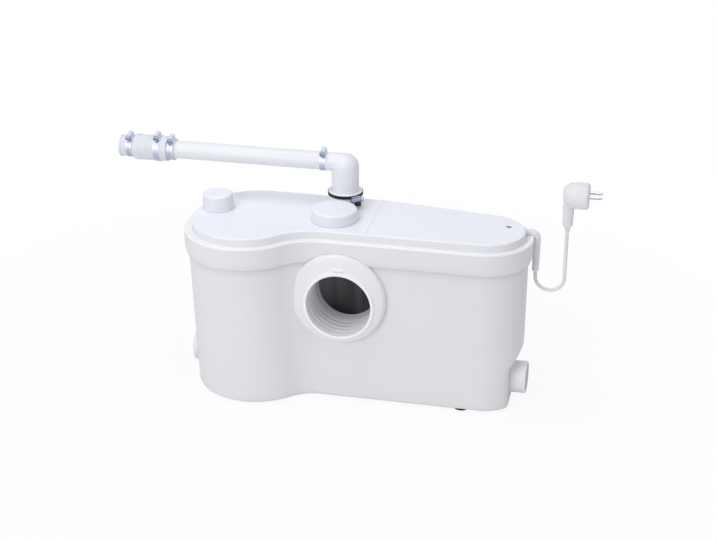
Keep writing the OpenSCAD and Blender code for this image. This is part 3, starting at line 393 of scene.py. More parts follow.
def softLess(a, b, blend):  # the smaller of two, rounded where they meet
    h = max(0, min(1, 0.5 + 0.5 * (b - a) / blend))
    return b + (a - b) * h - blend * h * (1 - h)


def facing(x, y, z, turn, axis):
    return Matrix.Translation((x, y, z)) @ Matrix.Rotation(turn, 4, axis)


def addBlock(bm, place, size):
    return bmesh.ops.create_cube(bm, size=1, matrix=place @ Matrix.Diagonal(size + (1,)))["verts"]


def easeBlock(bm, corners, width, steps):
    edges = list({e for v in corners for e in v.link_edges})
    bmesh.ops.bevel(bm, geom=edges, offset=width, segments=steps, profile=0.5, affect="EDGES")


# mains lead: short and stiff, it stands in the U that the photograph shows
lead = {"radius": 2.8, "y": 82, "x": 283.5, "z": 214, "length": 0.1563,
        "points": [(0, 0), (0, -5), (0, -10), (1, -17), (4, -23), (9, -28), (15, -31), (22, -32), (29, -31),
                   (35, -28), (40, -23), (43, -17), (44, -10), (44, -1), (44, 10), (44, 23), (44, 36),
                   (44, 49), (44, 58), (44, 67)]}
leadCurve = bpy.data.curves.new("mainsLead", "CURVE")
leadCurve.dimensions = "3D"
leadCurve.bevel_depth = lead["radius"] * mm
leadCurve.bevel_resolution = 6
leadCurve.resolution_u = 6
leadCurve.use_fill_caps = True
leadLine = leadCurve.splines.new("BEZIER")
leadLine.bezier_points.add(len(lead["points"]) - 1)
for point, (dx, dz) in zip(leadLine.bezier_points, lead["points"]):
    point.co = inRow(lead["x"] + dx, lead["y"], lead["z"] + dz)
    point.handle_left_type = point.handle_right_type = "AUTO"
leadCurve.materials.append(softVinyl)
mainsLead = addObject("mainsLead", leadCurve)
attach(mainsLead, "pump")
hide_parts("power_cord")

# plug: round angled head, a fluted neck whose back slopes into the head, and a short nose round the lead
plug = {"x": 327.5, "y": 82, "z": 339, "back": 321.5, "face": 357, "radius": 20,
        "crown": [(12, 0, 4), (17.6, 5, 5), (19.4, 14, 5)], "crownLong": 17, "groove": 19.2,
        "faceRadius": 17.6, "noseLow": 281, "nose": 3.7, "noseTop": 4.6, "noseRoot": 5.4, "neckLow": 290,
        "neck": 7.6, "neckTop": 9, "flutes": 14, "fluteSteps": 8, "fluteDeep": 0.35, "backTop": 350,
        "backSlope": 0.6, "backShy": 1.4}


def makePlug():
    p = plug
    long = p["face"] - p["back"]
    head = roundCorners([(0, 0)] + p["crown"] + [
        (p["radius"], p["crownLong"], 1.5), (p["radius"], long - 3, 1), (p["groove"], long - 2.4, 0.5),
        (p["groove"], long - 1.6, 0.5), (p["faceRadius"], long, 1.2), (0, long)])
    bm = turned(head, facing(p["back"], p["y"], p["z"], pi / 2, "Y"), loop=False, steps=72)
    count, tall = p["flutes"] * p["fluteSteps"], p["z"] - p["neckLow"]
    rings = []
    for k, inset in enumerate((0.9, 0.3, 0, 0, 0, 0, 0, 0, 0)):  # neck, fluted upright
        share = 0.012 * k if k < 3 else (k - 2) / 6
        z = p["neckLow"] + tall * share
        r = p["neck"] + (p["neckTop"] - p["neck"]) * share - inset
        ring = []
        for i in range(count):
            a = 2 * pi * i / count
            far = r - p["fluteDeep"] * max(0, cos(a * p["flutes"])) ** 2
            ring.append(bm.verts.new((p["x"] + far * cos(a), p["y"] + far * sin(a), z)))
        rings.append(ring)
    neckEnd, crest = rings[-1], p["z"] + p["radius"] - p["backShy"]
    for narrow, share in ((0.9, 0.6), (0.62, 1)):  # the back goes on up and slopes into the head
        ring = []
        for v in neckEnd:
            x, y, z = v.co
            top = min(p["backTop"] + p["backSlope"] * (x - p["x"] + p["neckTop"]), crest)
            ring.append(bm.verts.new((x, p["y"] + (y - p["y"]) * narrow, z + (top - z) * share)))
        rings.append(ring)
    joinRings(bm, rings, closed=True)
    nose = [(0, p["noseLow"]), (p["nose"], p["noseLow"], 0.6), (p["noseTop"], p["neckLow"] - 0.6, 1),
            (p["noseRoot"], p["neckLow"] + 1), (0, p["neckLow"] + 1)]
    lathe(bm, roundCorners(nose, steps=3), Matrix.Translation((p["x"], p["y"], 0)), loop=False, steps=40)
    return addPiece("plugBody", bm, softVinyl, "pvc_white", "plug_body")


plugBody = makePlug()

# strain relief: out of the motor cover's end, round a bend and down beside the skirt
gland = {"x": 283.2, "y": 82, "z": 273.5, "bend": 9, "radius": 5.9, "low": 213, "tip": 5.2, "inner": 252,
         "rings": 6, "ringDeep": 0.3, "steps": 60}


def makeGland():
    g = gland
    start, top = g["x"] - g["bend"], g["z"] - g["bend"]
    path = [Vector((g["inner"] + (start - g["inner"]) * k / 4, g["y"], g["z"])) for k in range(5)]
    for k in range(1, 13):
        a = pi / 2 * k / 12
        path.append(Vector((start + g["bend"] * sin(a), g["y"], top + g["bend"] * cos(a))))
    radii = [g["radius"]] * len(path)
    for k in range(1, g["steps"] + 1):  # shallow rings near the lower end let it flex
        t = k / g["steps"]
        ring = g["ringDeep"] * max(0, cos(2 * pi * t * 2 * g["rings"])) if 0.5 < t < 0.97 else 0
        path.append(Vector((g["x"], g["y"], top + (g["low"] - top) * t)))
        radii.append(g["radius"] + (g["tip"] - g["radius"]) * t - ring)
    bm = bmesh.new()
    sweep(bm, path, radii)
    addPiece("strainRelief", bm, softVinyl, "pvc_white", "cord_gland", sharp=50)


makeGland()

# outlines of the lid panel and of the tank's foot: back corner, bulge, waist, right end, tapered back
lid = {"left": 236, "right": 268, "depth": 143.5, "out": 58, "bulge": 82, "waist": 90}
footing = {"left": 241, "right": 273, "depth": 141, "out": 49.5, "bulge": 94.5, "waist": 60}
bends = {"corner": 90, "end": 60, "taper": 7.6, "blend": 300,
         "arcCounts": (28, 42, 16, 38, 8), "straightCounts": (6, 0, 48, 32, 32)}


def outline(o):  # points with outward normals
    b = bends
    taper = radians(b["taper"])
    bulge = (o["bulge"] - o["left"], o["bulge"] - o["out"])
    reach = sqrt((o["bulge"] + o["waist"]) ** 2 - (o["waist"] + bulge[1]) ** 2)
    lean = degrees(atan2(-o["waist"] - bulge[1], reach))
    end = (o["right"] - b["end"], b["end"])
    blendY = o["depth"] - b["blend"]
    blendX = end[0] - ((blendY - b["end"]) * cos(taper) + b["blend"] - b["end"]) / sin(taper)
    arcs = [((b["corner"] - o["left"], o["depth"] - b["corner"]), b["corner"], 90, 180, 1),
            (bulge, o["bulge"], 180, 360 + lean, 1),
            ((bulge[0] + reach, -o["waist"]), o["waist"], 180 + lean, 90, -1),
            (end, b["end"], -90, 90 - b["taper"], 1),
            ((blendX, blendY), b["blend"], 90 - b["taper"], 90, 1)]
    stretches = []
    for ((cx, cy), r, a0, a1, side), count in zip(arcs, b["arcCounts"]):
        angles = [radians(a0 + (a1 - a0) * k / count) for k in range(count + 1)]
        stretches.append([(cx + r * cos(a), cy + r * sin(a), side * cos(a), side * sin(a)) for a in angles])
    points = []
    for stretch, after, count in zip(stretches, stretches[1:] + stretches[:1], b["straightCounts"]):
        points += stretch if count else stretch[:-1]
        (px, py, nx, ny), (qx, qy) = stretch[-1], after[0][:2]
        points += [(px + (qx - px) * k / count, py + (qy - py) * k / count, nx, ny) for k in range(1, count)]
    return points


lidPoints, footPoints = outline(lid), outline(footing)
# where the caps, the discharge and the motor cover's screw stand on the lid
spots = {"vent": (-22, 50.1), "topInlet": (-208, 58), "riser": (-20, 118), "screw": (241, 79)}


def upAt(name):
    return Matrix.Translation(spots[name] + (0,))


def seamCrossings(x):  # front and back y where the seam line crosses the lid's outline
    ys = []
    for p, q in zip(lidPoints, lidPoints[1:] + lidPoints[:1]):
        if (p[0] - x) * (q[0] - x) < 0:
            ys.append(p[1] + (q[1] - p[1]) * (x - p[0]) / (q[0] - p[0]))
    return min(ys), max(ys)


# profile is (outward, height); a seam's corners, marked by a fifth value, never spread across it
def alongOutline(points, profile, **joining):
    bm = bmesh.new()
    rings = []
    for off, z in profile:
        rings.append([bm.verts.new((p[0] + p[2] * (min(off, 0) if len(p) > 4 else off), p[1] + p[3] * off, z))
                      for p in points])
    joinRings(bm, rings, **joining)
    return bm


# tank: wall from the foot's outline up to the lid's, rounded foot, lands for the side inlets, three holes
tank = {"foot": 3, "rim": 262, "rimThick": 5, "rimOff": 3, "rimLip": 7.5, "belly": 233.5, "bellyOff": 6,
        "tuck": 3.5, "fillet": 6, "wall": 3.5, "floor": 4, "rightLand": 256, "leftLand": 228, "leftSlope": 16,
        "landHalf": 35.5, "landTop": 68, "landRise": 1.5, "edge": 5, "wellClear": (-400, -50), "inletZ": 171,
        "inletHole": 56.8, "inletFrom": 30, "inletLong": 60, "sideZ": 40, "sideY": 60, "sideHole": 25.3,
        "sideLong": 40}


def tankRing(bm, off, z, inset):
    t = tank
    share = max(0, min(1, (t["belly"] - z) / (t["belly"] - t["foot"] - t["fillet"])))
    limit = t["rightLand"] - inset + max(0, z - t["landTop"] - inset) / t["landRise"]
    ring = []
    for p, q in zip(lidPoints, footPoints):
        x, y, nx, ny = (a + (b - a) * share for a, b in zip(p, q))
        ring.append(bm.verts.new((softLess(x + nx * off, limit, t["edge"]), y + ny * off, z)))
    return ring


def tankSolid(inset, lift, top):
    t = tank
    low, r, belly = t["foot"] + lift, t["fillet"], t["belly"]
    profile = [(r * sin(radians(a)) - r, low + r - r * cos(radians(a))) for a in range(0, 90, 15)]
    heights = [low + r + 5 * k for k in range(10)]
    heights += [60 + 3 * k for k in range(18)]  # closer where the lands end
    heights += [118 + 8.25 * k for k in range(15)]
    profile += [(t["bellyOff"] * (z - t["foot"] - r) / (belly - t["foot"] - r), z) for z in heights]
    profile += [(t["rimOff"], belly + t["tuck"])] + top
    bm = bmesh.new()
    joinRings(bm, [tankRing(bm, off - inset, z, inset) for off, z in profile], closed=True)
    tool = bmesh.new()
    left, up, half = inset - t["leftLand"], t["landTop"] + inset, t["landHalf"] + inset
    out, over = t["leftSlope"], up + t["leftSlope"] * t["landRise"]
    far, under = t["wellClear"]
    beside = [(left, under), (left, up), (left - out, over), (far, over), (far, under)]
    ends = (t["sideY"] - half, t["sideY"] + half)
    joinRings(tool, [[tool.verts.new((x, y, z)) for x, z in beside] for y in ends], closed=True)
    return carve(bm, tool)


def makeTank():
    t = tank
    under = t["rim"] - t["rimThick"]
    flange = [(t["rimOff"], under), (t["rimLip"], under), (t["rimLip"], t["rim"])]
    shell = carve(tankSolid(0, 0, flange), tankSolid(t["wall"], t["floor"], [(t["rimOff"], t["rim"] + 1)]))
    holes = bmesh.new()
    place = facing(0, t["inletFrom"], t["inletZ"], pi / 2, "X")
    lathe(holes, plain(0, t["inletHole"], 0, t["inletLong"]), place, loop=False)
    half = t["sideLong"] / 2
    for x, way in ((t["rightLand"] - half, 1), (half - t["leftLand"], -1)):
        place = facing(x, t["sideY"], t["sideZ"], way * pi / 2, "Y")
        lathe(holes, plain(0, t["sideHole"], 0, t["sideLong"]), place, loop=False)
    addPiece("tankShell", carve(shell, holes), tankAbs, "abs_white", "tank")


makeTank()

# inlet collar: tube through the wall, rounded shoulder set higher than the bore and drawn in to it, a nib
collar = {"y": 46, "z": 171, "bore": 53, "tube": 56.5, "front": 68, "tubeFrom": 13, "shoulder": 73.5, "up": 8,
          "left": 3, "wallAt": 42, "coneAt": 61.5, "round": 6, "lip": 1.4, "nib": (17, 6, 7.5),
          "nibAt": (0, -19, 230.25), "nibSlope": 4}


def makeCollar():
    c = collar
    bm = bmesh.new()
    mouth = c["front"] - c["lip"]
    tube = [(c["bore"], c["tubeFrom"]), (c["tube"], c["tubeFrom"]), (c["tube"], c["wallAt"])]
    outer = roundCorners([
        (c["shoulder"], c["wallAt"]), (c["shoulder"], c["coneAt"], c["round"]),
        (c["tube"] - 0.8, mouth, c["lip"]), (c["tube"] - 1.8, c["front"], 0.6), (c["bore"], c["front"])],
        steps=9)
    rings = []
    for r, h in tube + outer:  # the shoulder's rings are set off, the tube's and the mouth's aren't
        share = max(0, min(1, (mouth - h) / (mouth - c["coneAt"]))) if r > c["tube"] else 0
        place = facing(-c["left"] * share, c["y"], c["z"] + c["up"] * share, pi / 2, "X")
        rings.append(circle(bm, place, r, h, 144))
    joinRings(bm, rings, loop=True)
    nib = addBlock(bm, Matrix.Translation(c["nibAt"]), c["nib"])
    for v in nib:  # its top falls to the front
        v.co.z -= c["nibSlope"] if v.co.y < c["nibAt"][1] and v.co.z > c["nibAt"][2] else 0
    easeBlock(bm, nib, 0.9, 3)
    addPiece("inletCollar", bm, fittingAbs, "abs_white", "inlet_collar")


makeCollar()

# cover: ledge rising a little to its rounded edge, over a skirt notched round the inlet collar
cover = {"foot": 269, "footOut": 2, "ledge": 271.2, "ledgeFrom": 8, "edge": 2.6, "deck": 264.5, "out": 12.5,
         "edgeLow": 268.6, "skirtIn": 3, "skirtLow": 235, "skirtRound": 8, "skirtWall": 2.8, "skirtTop": 9.2,
         "inner": -9, "notchFrom": 8, "notchLong": 40}


def makeCoverSkirt():
    c = cover
    low, rim = c["out"] - c["skirtIn"], tank["rim"] + 0.3
    ledge = roundCorners([
        (c["inner"], c["foot"]), (c["footOut"], c["foot"], 2), (c["ledgeFrom"], c["ledge"], 2),
        (c["out"] - 0.4, c["ledge"], c["edge"]), (c["out"], c["edgeLow"])], steps=7)
    under = [(c["footOut"], c["edgeLow"]), (c["footOut"], c["deck"]), (c["inner"], c["deck"])]
    bm = alongOutline(lidPoints, ledge + under, loop=True)
    # the ledge in the brighter copy: painted highlight
    addPiece("coverLedge", bm, ledgeHighlightAbs, "abs_white", "main_cover")
    skirt = roundCorners([
        (c["footOut"], c["edgeLow"]), (c["out"], c["edgeLow"]),
        (c["out"] - 0.6, c["skirtLow"] + c["skirtRound"], c["skirtRound"]), (low, c["skirtLow"], 1.2),
        (low - c["skirtWall"], c["skirtLow"], 0.7), (c["skirtTop"], rim, 1.5), (c["footOut"], rim)],
        loop=True, steps=7)
    bm = alongOutline(lidPoints, skirt, loop=True)
    place = facing(-collar["left"], c["notchFrom"], collar["z"] + collar["up"], pi / 2, "X")
    notch = turned(plain(0, collar["shoulder"], 0, c["notchLong"]), place, loop=False, steps=160)
    addPiece("coverSkirt", carve(bm, notch), skirtAbs, "abs_white", "main_cover")


makeCoverSkirt()

# raised panels: a cove from the ledge, a rounded top edge, and a hair line along the seam
panel = {"top": 282, "cove": 1.6, "coveRound": 1.5, "side": 0.8, "topRound": 2.4, "topFrom": -5, "wall": 3,
         "seam": 36.15, "seamGap": 0.1, "seamRound": 0.05, "screwSeat": 271.5,
         "holes": {"vent": 12, "topInlet": 20, "riser": 25, "screw": 4.5}}


def makePanel(name, points, node, holes):  # each hole has a spot, a depth and an eased edge
    p = panel
    low, top = cover["foot"] - 0.3, p["top"]
    outer = roundCorners([(p["cove"], low), (p["side"], low + 0.7, p["coveRound"]), (0, top, p["topRound"]),
                          (p["topFrom"], top)], steps=6)
    inside = [(p["topFrom"], top - p["wall"]), (-p["wall"], top - p["wall"]), (-p["wall"], low)]
    bm = alongOutline(points, inside + outer, closed=True)
    tool = bmesh.new()
    for spot, deep, ease in holes:
        r = p["holes"][spot]
        wide = r + ease
        hole = [(0, deep), (r, deep), (r, top - 0.9), (wide, top + 0.1), (wide, top + 3), (0, top + 3)]
        lathe(tool, hole, upAt(spot), loop=False, steps=72)
    # the panel's top in the lighter copy and its sides in the plain white: painted light on the top
    paintSidesShaded(addPiece(name, carve(bm, tool), coverLitAbs, "abs_white", node), skirtAbs)


def makePanels():
    x, lean = panel["seam"], panel["seamRound"]
    front, behind = seamCrossings(x)
    firstRight = next(i for i, p in enumerate(lidPoints) if p[0] > x)
    lastRight = max(i for i, p in enumerate(lidPoints) if p[0] > x)
    leftSide = lidPoints[:firstRight] + [(x, front, lean, -1, 1), (x, behind, lean, 1, 1)]
    below = panel["top"] - panel["wall"] - 1
    holes = [(spot, below, 0) for spot in ("vent", "topInlet", "riser")]
    makePanel("lidPanel", leftSide + lidPoints[lastRight + 1:], "main_cover", holes)
    x += panel["seamGap"]
    front, behind = seamCrossings(x)
    rightSide = [p for p in lidPoints if p[0] > x + 0.2]
    rightSide += [(x, behind, -lean, 1, 1), (x, front, -lean, -1, 1)]
    makePanel("motorCoverPanel", rightSide, "motor_cover", [("screw", panel["screwSeat"], 1)])


makePanels()

# rubber sleeve: lip over the mouth in a lighter copy of the white rubber as painted light, soft ribs inside,
# and a lip at its inner end in grey as painted shade of the tube's end
sleeve = {"bore": 50, "out": 53, "lip": 54.3, "top": 69.5, "grooves": 4, "pitch": 11, "deep": 0.6,
          "wide": 8, "firstAt": 20, "sealLow": -4, "sealBore": 47.2, "sealTo": 9}


def makeSleeve():
    s = sleeve
    place = facing(0, collar["y"], collar["z"], pi / 2, "X")
    inner = s["sealTo"]
    profile = roundCorners([
        (s["bore"], inner, 0.5), (s["out"], inner), (s["out"], collar["front"]), (s["lip"], collar["front"]),
        (s["lip"], s["top"], 0.9), (s["bore"], s["top"], 1)])
    for i in reversed(range(s["grooves"])):
        for k in range(6, -7, -1):
            t = k / 6
            profile.append((s["bore"] + s["deep"] * (0.5 + 0.5 * cos(pi * t)),
                            s["firstAt"] + i * s["pitch"] + s["wide"] / 2 * t))
    bm = turned(profile, place, steps=128)
    # the sleeve in the lighter copy of the white rubber: painted light
    addPiece("inletSleeve", bm, litWhiteRubber, "rubber_white", "inlet_sleeve")
    step = collar["tubeFrom"]
    seal = [(s["sealBore"], s["sealLow"], 0.8), (s["out"] - 1, s["sealLow"], 0.6), (s["out"], 0),
            (collar["tube"], 0, 0.6), (collar["tube"], step), (s["out"], step), (s["out"], inner),
            (s["bore"], inner)]
    bm = turned(roundCorners(seal, loop=True), place, steps=128)
    # the inner lip in grey: painted shade where the white tube's end lies in shade
    addPiece("inletInnerLip", bm, shadeGreyRubber, "rubber_white", "inlet_sleeve", "inlet_collar")


makeSleeve()

# baffle behind the inlet: smooth black half round screen
baffle = {"y": 37.2, "radius": 60, "thick": 3, "low": 26, "high": 236, "from": 47, "steps": 60}


def makeBaffle():
    b = baffle
    start = atan2(b["from"] - b["y"], b["radius"])
    angles = [start + (pi - 2 * start) * k / b["steps"] for k in range(b["steps"] + 1)]
    plan = [(b["radius"], a) for a in angles] + [(b["radius"] - b["thick"], a) for a in reversed(angles)]
    bm = bmesh.new()
    rings = [[bm.verts.new((r * cos(a), b["y"] + r * sin(a), z)) for r, a in plan]
             for z in (b["low"], b["high"])]
    joinRings(bm, rings, closed=True)
    addPiece("inletBaffle", bm, charcoalPolypropylene, "plastic_black", "inlet_baffle", sharp=60)


makeBaffle()

# side inlets: spigot with an eased mouth, flange and seat inside the wall, ears that carry the flap's pin
spigot = {"out": 25, "bore": 21.5, "length": 25, "wall": 3.5, "seal": 2, "flange": 29.5, "flangeThick": 4,
          "seat": 26, "seatLong": 8.5, "ear": (12, 3, 12), "earMid": 9.9, "earLow": 22.5, "earPast": 5.4}


def makeSpigot(name, x, way, node):
    s = spigot
    deep = s["wall"] + s["seal"]
    seatAt = deep + s["flangeThick"] + s["seatLong"]
    profile = roundCorners([
        (s["bore"], -seatAt), (s["seat"], -seatAt), (s["seat"], s["seatLong"] - seatAt),
        (s["flange"], s["seatLong"] - seatAt, 0.6), (s["flange"], -deep), (s["out"] - 0.3, -deep),
        (s["out"] - 0.3, 0.2), (s["out"], 0.4), (s["out"], s["length"], 1.2), (s["bore"], s["length"], 0.8)],
        loop=True)
    bm = turned(profile, facing(x, tank["sideY"], tank["sideZ"], way * pi / 2, "Y"), steps=72)
    thick, _, high = s["ear"]
    for side in (-1, 1):
        spot = (x + way * (thick / 2 - s["earPast"] - seatAt), tank["sideY"] + side * s["earMid"],
                tank["sideZ"] + s["earLow"] + high / 2)
        addBlock(bm, Matrix.Translation(spot), s["ear"])
    addPiece(name, bm, fittingAbs, "abs_white", node)


makeSpigot("sideInletRight", tank["rightLand"], 1, "side_inlet_right")
makeSpigot("sideInletLeft", -tank["leftLand"], -1, "side_inlet_left")

# feet: rubber pads with two grip grooves underneath
feet = {"radius": 12, "high": 3, "grooves": (5, 9), "grooveHalf": 1, "grooveFlat": 0.6, "grooveDeep": 0.6,
        "places": [(186, 15), (187, 95.5), (-160, 10), (-160, 89.5)]}


def makeFeet():
    f = feet
    half, flat, deep = f["grooveHalf"], f["grooveFlat"], f["grooveDeep"]
    profile = [(0, 0)]
    for r in f["grooves"]:
        profile += [(r - half, 0, 0.3), (r - flat, deep, 0.2), (r + flat, deep, 0.2), (r + half, 0, 0.3)]
    profile += [(f["radius"] - 0.6, 0, 0.8), (f["radius"], f["high"], 0.3), (0, f["high"])]
    profile = roundCorners(profile, steps=3)
    bm = bmesh.new()
    for x, y in f["places"]:
        lathe(bm, profile, Matrix.Translation((x, y, 0)), loop=False, steps=40)
    addPiece("rubberFeet", bm, blackRubber, "rubber_black", "rubber_feet")


makeFeet()

# caps: low wide vent cap and tall top inlet cap, both eased and slightly drafted
caps = {"ventCap": {"spot": "vent", "foot": 282.4, "top": 300.5, "radius": 36, "draft": 1.4, "ease": 3.2,
                    "wall": 2.5, "node": "vent_cap"},
        "topInletCap": {"spot": "topInlet", "foot": 282.3, "top": 307, "radius": 24.5, "draft": 1.9,
                        "ease": 3.6, "wall": 2.5, "node": "top_inlet_cap"}}


def makeCap(name):
    c = caps[name]
    inner, under = c["radius"] - c["wall"], c["top"] - c["wall"]
    profile = roundCorners([
        (inner, c["foot"]), (c["radius"], c["foot"], 0.5),
        (c["radius"] - c["draft"], c["top"] - 0.5, c["ease"]), (0, c["top"]), (0, under),
        (inner - c["draft"], under, 2)], loop=True, steps=6)
    bm = turned(profile, upAt(c["spot"]), steps=112)
    # the cap's top in the lighter copy and its sides in the darker copy: painted light and painted shade
    paintSidesShaded(addPiece(name, bm, coverLitAbs, "abs_white", c["node"], body=c["node"]), capShadedAbs)


for name in caps:
    makeCap(name)

# necks under the caps: the top inlet's has a groove for its seal, the vent's holds the filter
capNecks = {"topOut": 20, "topBore": 17, "topLow": 240.5, "top": 303.5, "sealZ": 298.1, "groove": 1.3,
            "ventOut": 32.2, "ventBore": 30.7, "ventLow": 281.5, "ventTop": 294}


def makeCapNecks():
    n = capNecks
    out, root = n["topOut"], n["topOut"] - n["groove"]
    low, high = n["sealZ"] - n["groove"], n["sealZ"] + n["groove"]
    groove = [(out, n["topLow"]), (out, low), (root, low), (root, high)]
    lip = roundCorners([(out, high), (out, n["top"], 1.2), (n["topBore"], n["top"], 0.8),
                        (n["topBore"], n["topLow"])])
    bm = turned(groove + lip, upAt("topInlet"), steps=96)
    lathe(bm, plain(n["ventBore"], n["ventOut"], n["ventLow"], n["ventTop"]), upAt("vent"), steps=96)
    addPiece("capNecks", bm, fittingAbs, "abs_white", "main_cover")


makeCapNecks()

# discharge: sleeve, elbow, pipe and stepped coupling
discharge = {"x": spots["riser"][0], "y": spots["riser"][1], "pipeZ": 349, "elbow": 21, "elbowWall": 3.5,
             "low": 290.3, "pipe": 14, "pipeWall": 2, "stub": -44, "stubOver": 0.5, "pipeEnd": -321,
             "grip": 28, "gripThick": 2.5, "lip": 3, "boreFrom": 4, "boreTo": 80, "cell": 1.1, "rounds": 14}
neck = {"bore": 21.05, "seat": 290, "root": 23.5, "shoulder": 297, "out": 26.5, "top": 304, "lidBore": 20,
        "lidOut": 25, "lidLow": 279, "socket": 23, "socketLow": 246, "riser": 16.05, "riserTop": 258}


def makeSleeveRing():
    n = neck
    profile = roundCorners([
        (n["bore"], n["seat"]), (n["root"], n["seat"]), (n["root"], n["shoulder"]),
        (n["out"], n["shoulder"], 0.6), (n["out"], n["top"], 1), (n["bore"], n["top"], 0.8)], loop=True)
    bm = turned(profile, upAt("riser"), steps=96)
    # the sleeve in the lighter copy of the white rubber: painted light
    addPiece("dischargeSleeve", bm, litWhiteRubber, "rubber_white", "discharge_sleeve")
    loose = n["root"] + 0.1
    profile = [(n["lidBore"], n["riserTop"]), (n["riser"], n["riserTop"]), (n["riser"], n["socketLow"]),
               (n["socket"], n["socketLow"]), (n["socket"], n["lidLow"]), (n["lidOut"], n["lidLow"]),
               (n["lidOut"], n["shoulder"]), (loose, n["shoulder"]), (loose, n["seat"]),
               (n["lidBore"], n["seat"])]
    bm = turned(profile, upAt("riser"), steps=96)
    addPiece("lidNeck", bm, coverLitAbs, "abs_white", "main_cover")


makeSleeveRing()


def alongPipe(x):
    return facing(x, discharge["y"], discharge["pipeZ"], -pi / 2, "Y")


def makeElbow():
    d = discharge
    stub, reach = d["pipe"] + d["stubOver"], d["x"] - d["stub"]
    bend = d["pipeZ"] + stub - d["elbow"]
    quarter = [(cos(radians(a)), sin(radians(a))) for a in range(0, 90, 6)]
    along = alongPipe(d["x"])

    def domed(r, low):  # upright cylinder with a round top
        top = [(r * c, bend + r * s) for c, s in quarter] + [(0, bend + r)]
        return turned([(0, low), (r, low)] + top, upAt("riser"), loop=False, steps=96)

    skin = domed(d["elbow"], d["low"])
    lathe(skin, plain(0, stub, 0, reach + d["lip"]), along, loop=False, steps=72)
    bm = carve(oneSkin(skin, d["cell"], d["rounds"]), domed(d["elbow"] - d["elbowWall"], d["low"] - 2))
    grip = d["pipe"] - d["pipeWall"]
    bore = grip - d["gripThick"]
    bm = carve(bm, turned(plain(0, bore, d["boreFrom"], d["boreTo"]), along, loop=False, steps=72))
    lathe(bm, plain(bore, grip, reach, reach + d["grip"]), along, steps=72)
    addPiece("dischargeElbow", bm, fittingAbs, "abs_white", "discharge_elbow", body="discharge", sharp=60)


makeElbow()


def makePipe():
    d = discharge
    long, bore = d["stub"] - d["pipeEnd"], d["pipe"] - d["pipeWall"]
    profile = [(bore, 0, 0.4), (d["pipe"], 0, 0.5), (d["pipe"], long, 0.5), (bore, long, 0.4)]
    bm = turned(roundCorners(profile, loop=True), alongPipe(d["stub"]), steps=72)
    addPiece("dischargePipe", bm, pipePvc, "pipe_white", "discharge_pipe", body="discharge")


makePipe()

# stepped rubber coupling: thin cuffs, thick ribbed middle
coupling = {"right": -293, "long": 91, "cuff": 16.2, "body": 19.5, "rightStep": 12, "leftStep": 66.5,
            "ribs": 2, "ribAt": 26, "ribPitch": 6, "ribHigh": 0.6, "ribSlope": 0.9, "ribWide": 3.2,
            "swell": 0.8, "bead": 0.9}


def makeCoupling():
    c, d = coupling, discharge
    bore = d["pipe"] - d["pipeWall"]
    body, cuff, long = c["body"], c["cuff"], c["long"]
    outer = [(d["pipe"], 0, 0.3), (cuff, 0, 0.7), (cuff, c["rightStep"], 0.6), (body, c["rightStep"], 1.2)]
    rib = body + c["ribHigh"]
    for i in range(c["ribs"]):  # moulded ribs round the middle
        z = c["rightStep"] + c["ribAt"] + i * c["ribPitch"]
        outer += [(body, z, 0.5), (rib, z + c["ribSlope"], 0.5), (rib, z + c["ribWide"] - c["ribSlope"], 0.5),
                  (body, z + c["ribWide"], 0.5)]
    swell, bead = body + c["swell"], cuff + c["bead"]
    outer += [(swell, c["leftStep"] - 8, 0.8), (swell, c["leftStep"] - 1, 1.4), (cuff, c["leftStep"], 0.5),
              (cuff, long - 4, 0.5), (bead, long - 3, 0.6), (bead, long - 0.2, 0.8), (d["pipe"], long, 0.4)]
    gripEnd = long - d["grip"]
    inside = [(d["pipe"], gripEnd), (bore, gripEnd), (bore, d["grip"]), (d["pipe"], d["grip"])]
    bm = turned(roundCorners(outer + inside, loop=True), alongPipe(c["right"]))
    addPiece("pipeCoupling", bm, whiteRubber, "rubber_white", "pipe_coupling", body="discharge")


makeCoupling()

# worm drive clamps: slotted band, arched worm housing, threaded screw with a slotted hexagon head
clamp = {"bandWide": 9, "bandThick": 0.9, "slotPitch": 3.0, "slotWide": 5, "slotLean": 0.02, "wormOut": 4.7,
         "wormRadius": 3, "threadDeep": 0.6, "threadPitch": 1.5, "houseLow": -7.2, "houseHigh": 7.2,
         "houseWide": 9.6, "houseSteps": 48, "arch": 3.9, "archFoot": -2.4, "head": 4.4, "headLong": 4.6,
         "slot": (1.3, 1.8), "turn": 75}
# x and radius of the right and the left clamp
clampSets = {"pipe": [(-54, 14), (-299.3, 16.2)], "coupling": [(-321.5, 19.5), (-367.5, 16.2)]}
screwNodes = {"pipe": "pipe_clamp_screw_", "coupling": "coupling_screw_"}


def onPipe(x):
    return facing(x, discharge["y"], discharge["pipeZ"], -pi / 2, "Z") @ Matrix.Rotation(
        pi / 2, 4, "X") @ Matrix.Rotation(radians(clamp["turn"]), 4, "Z")


def onWorm(place, r, aside=0):  # x away from the band, y across it, z toward the screw's head
    return place @ facing(r + clamp["wormOut"], 0, aside, pi / 2, "X")


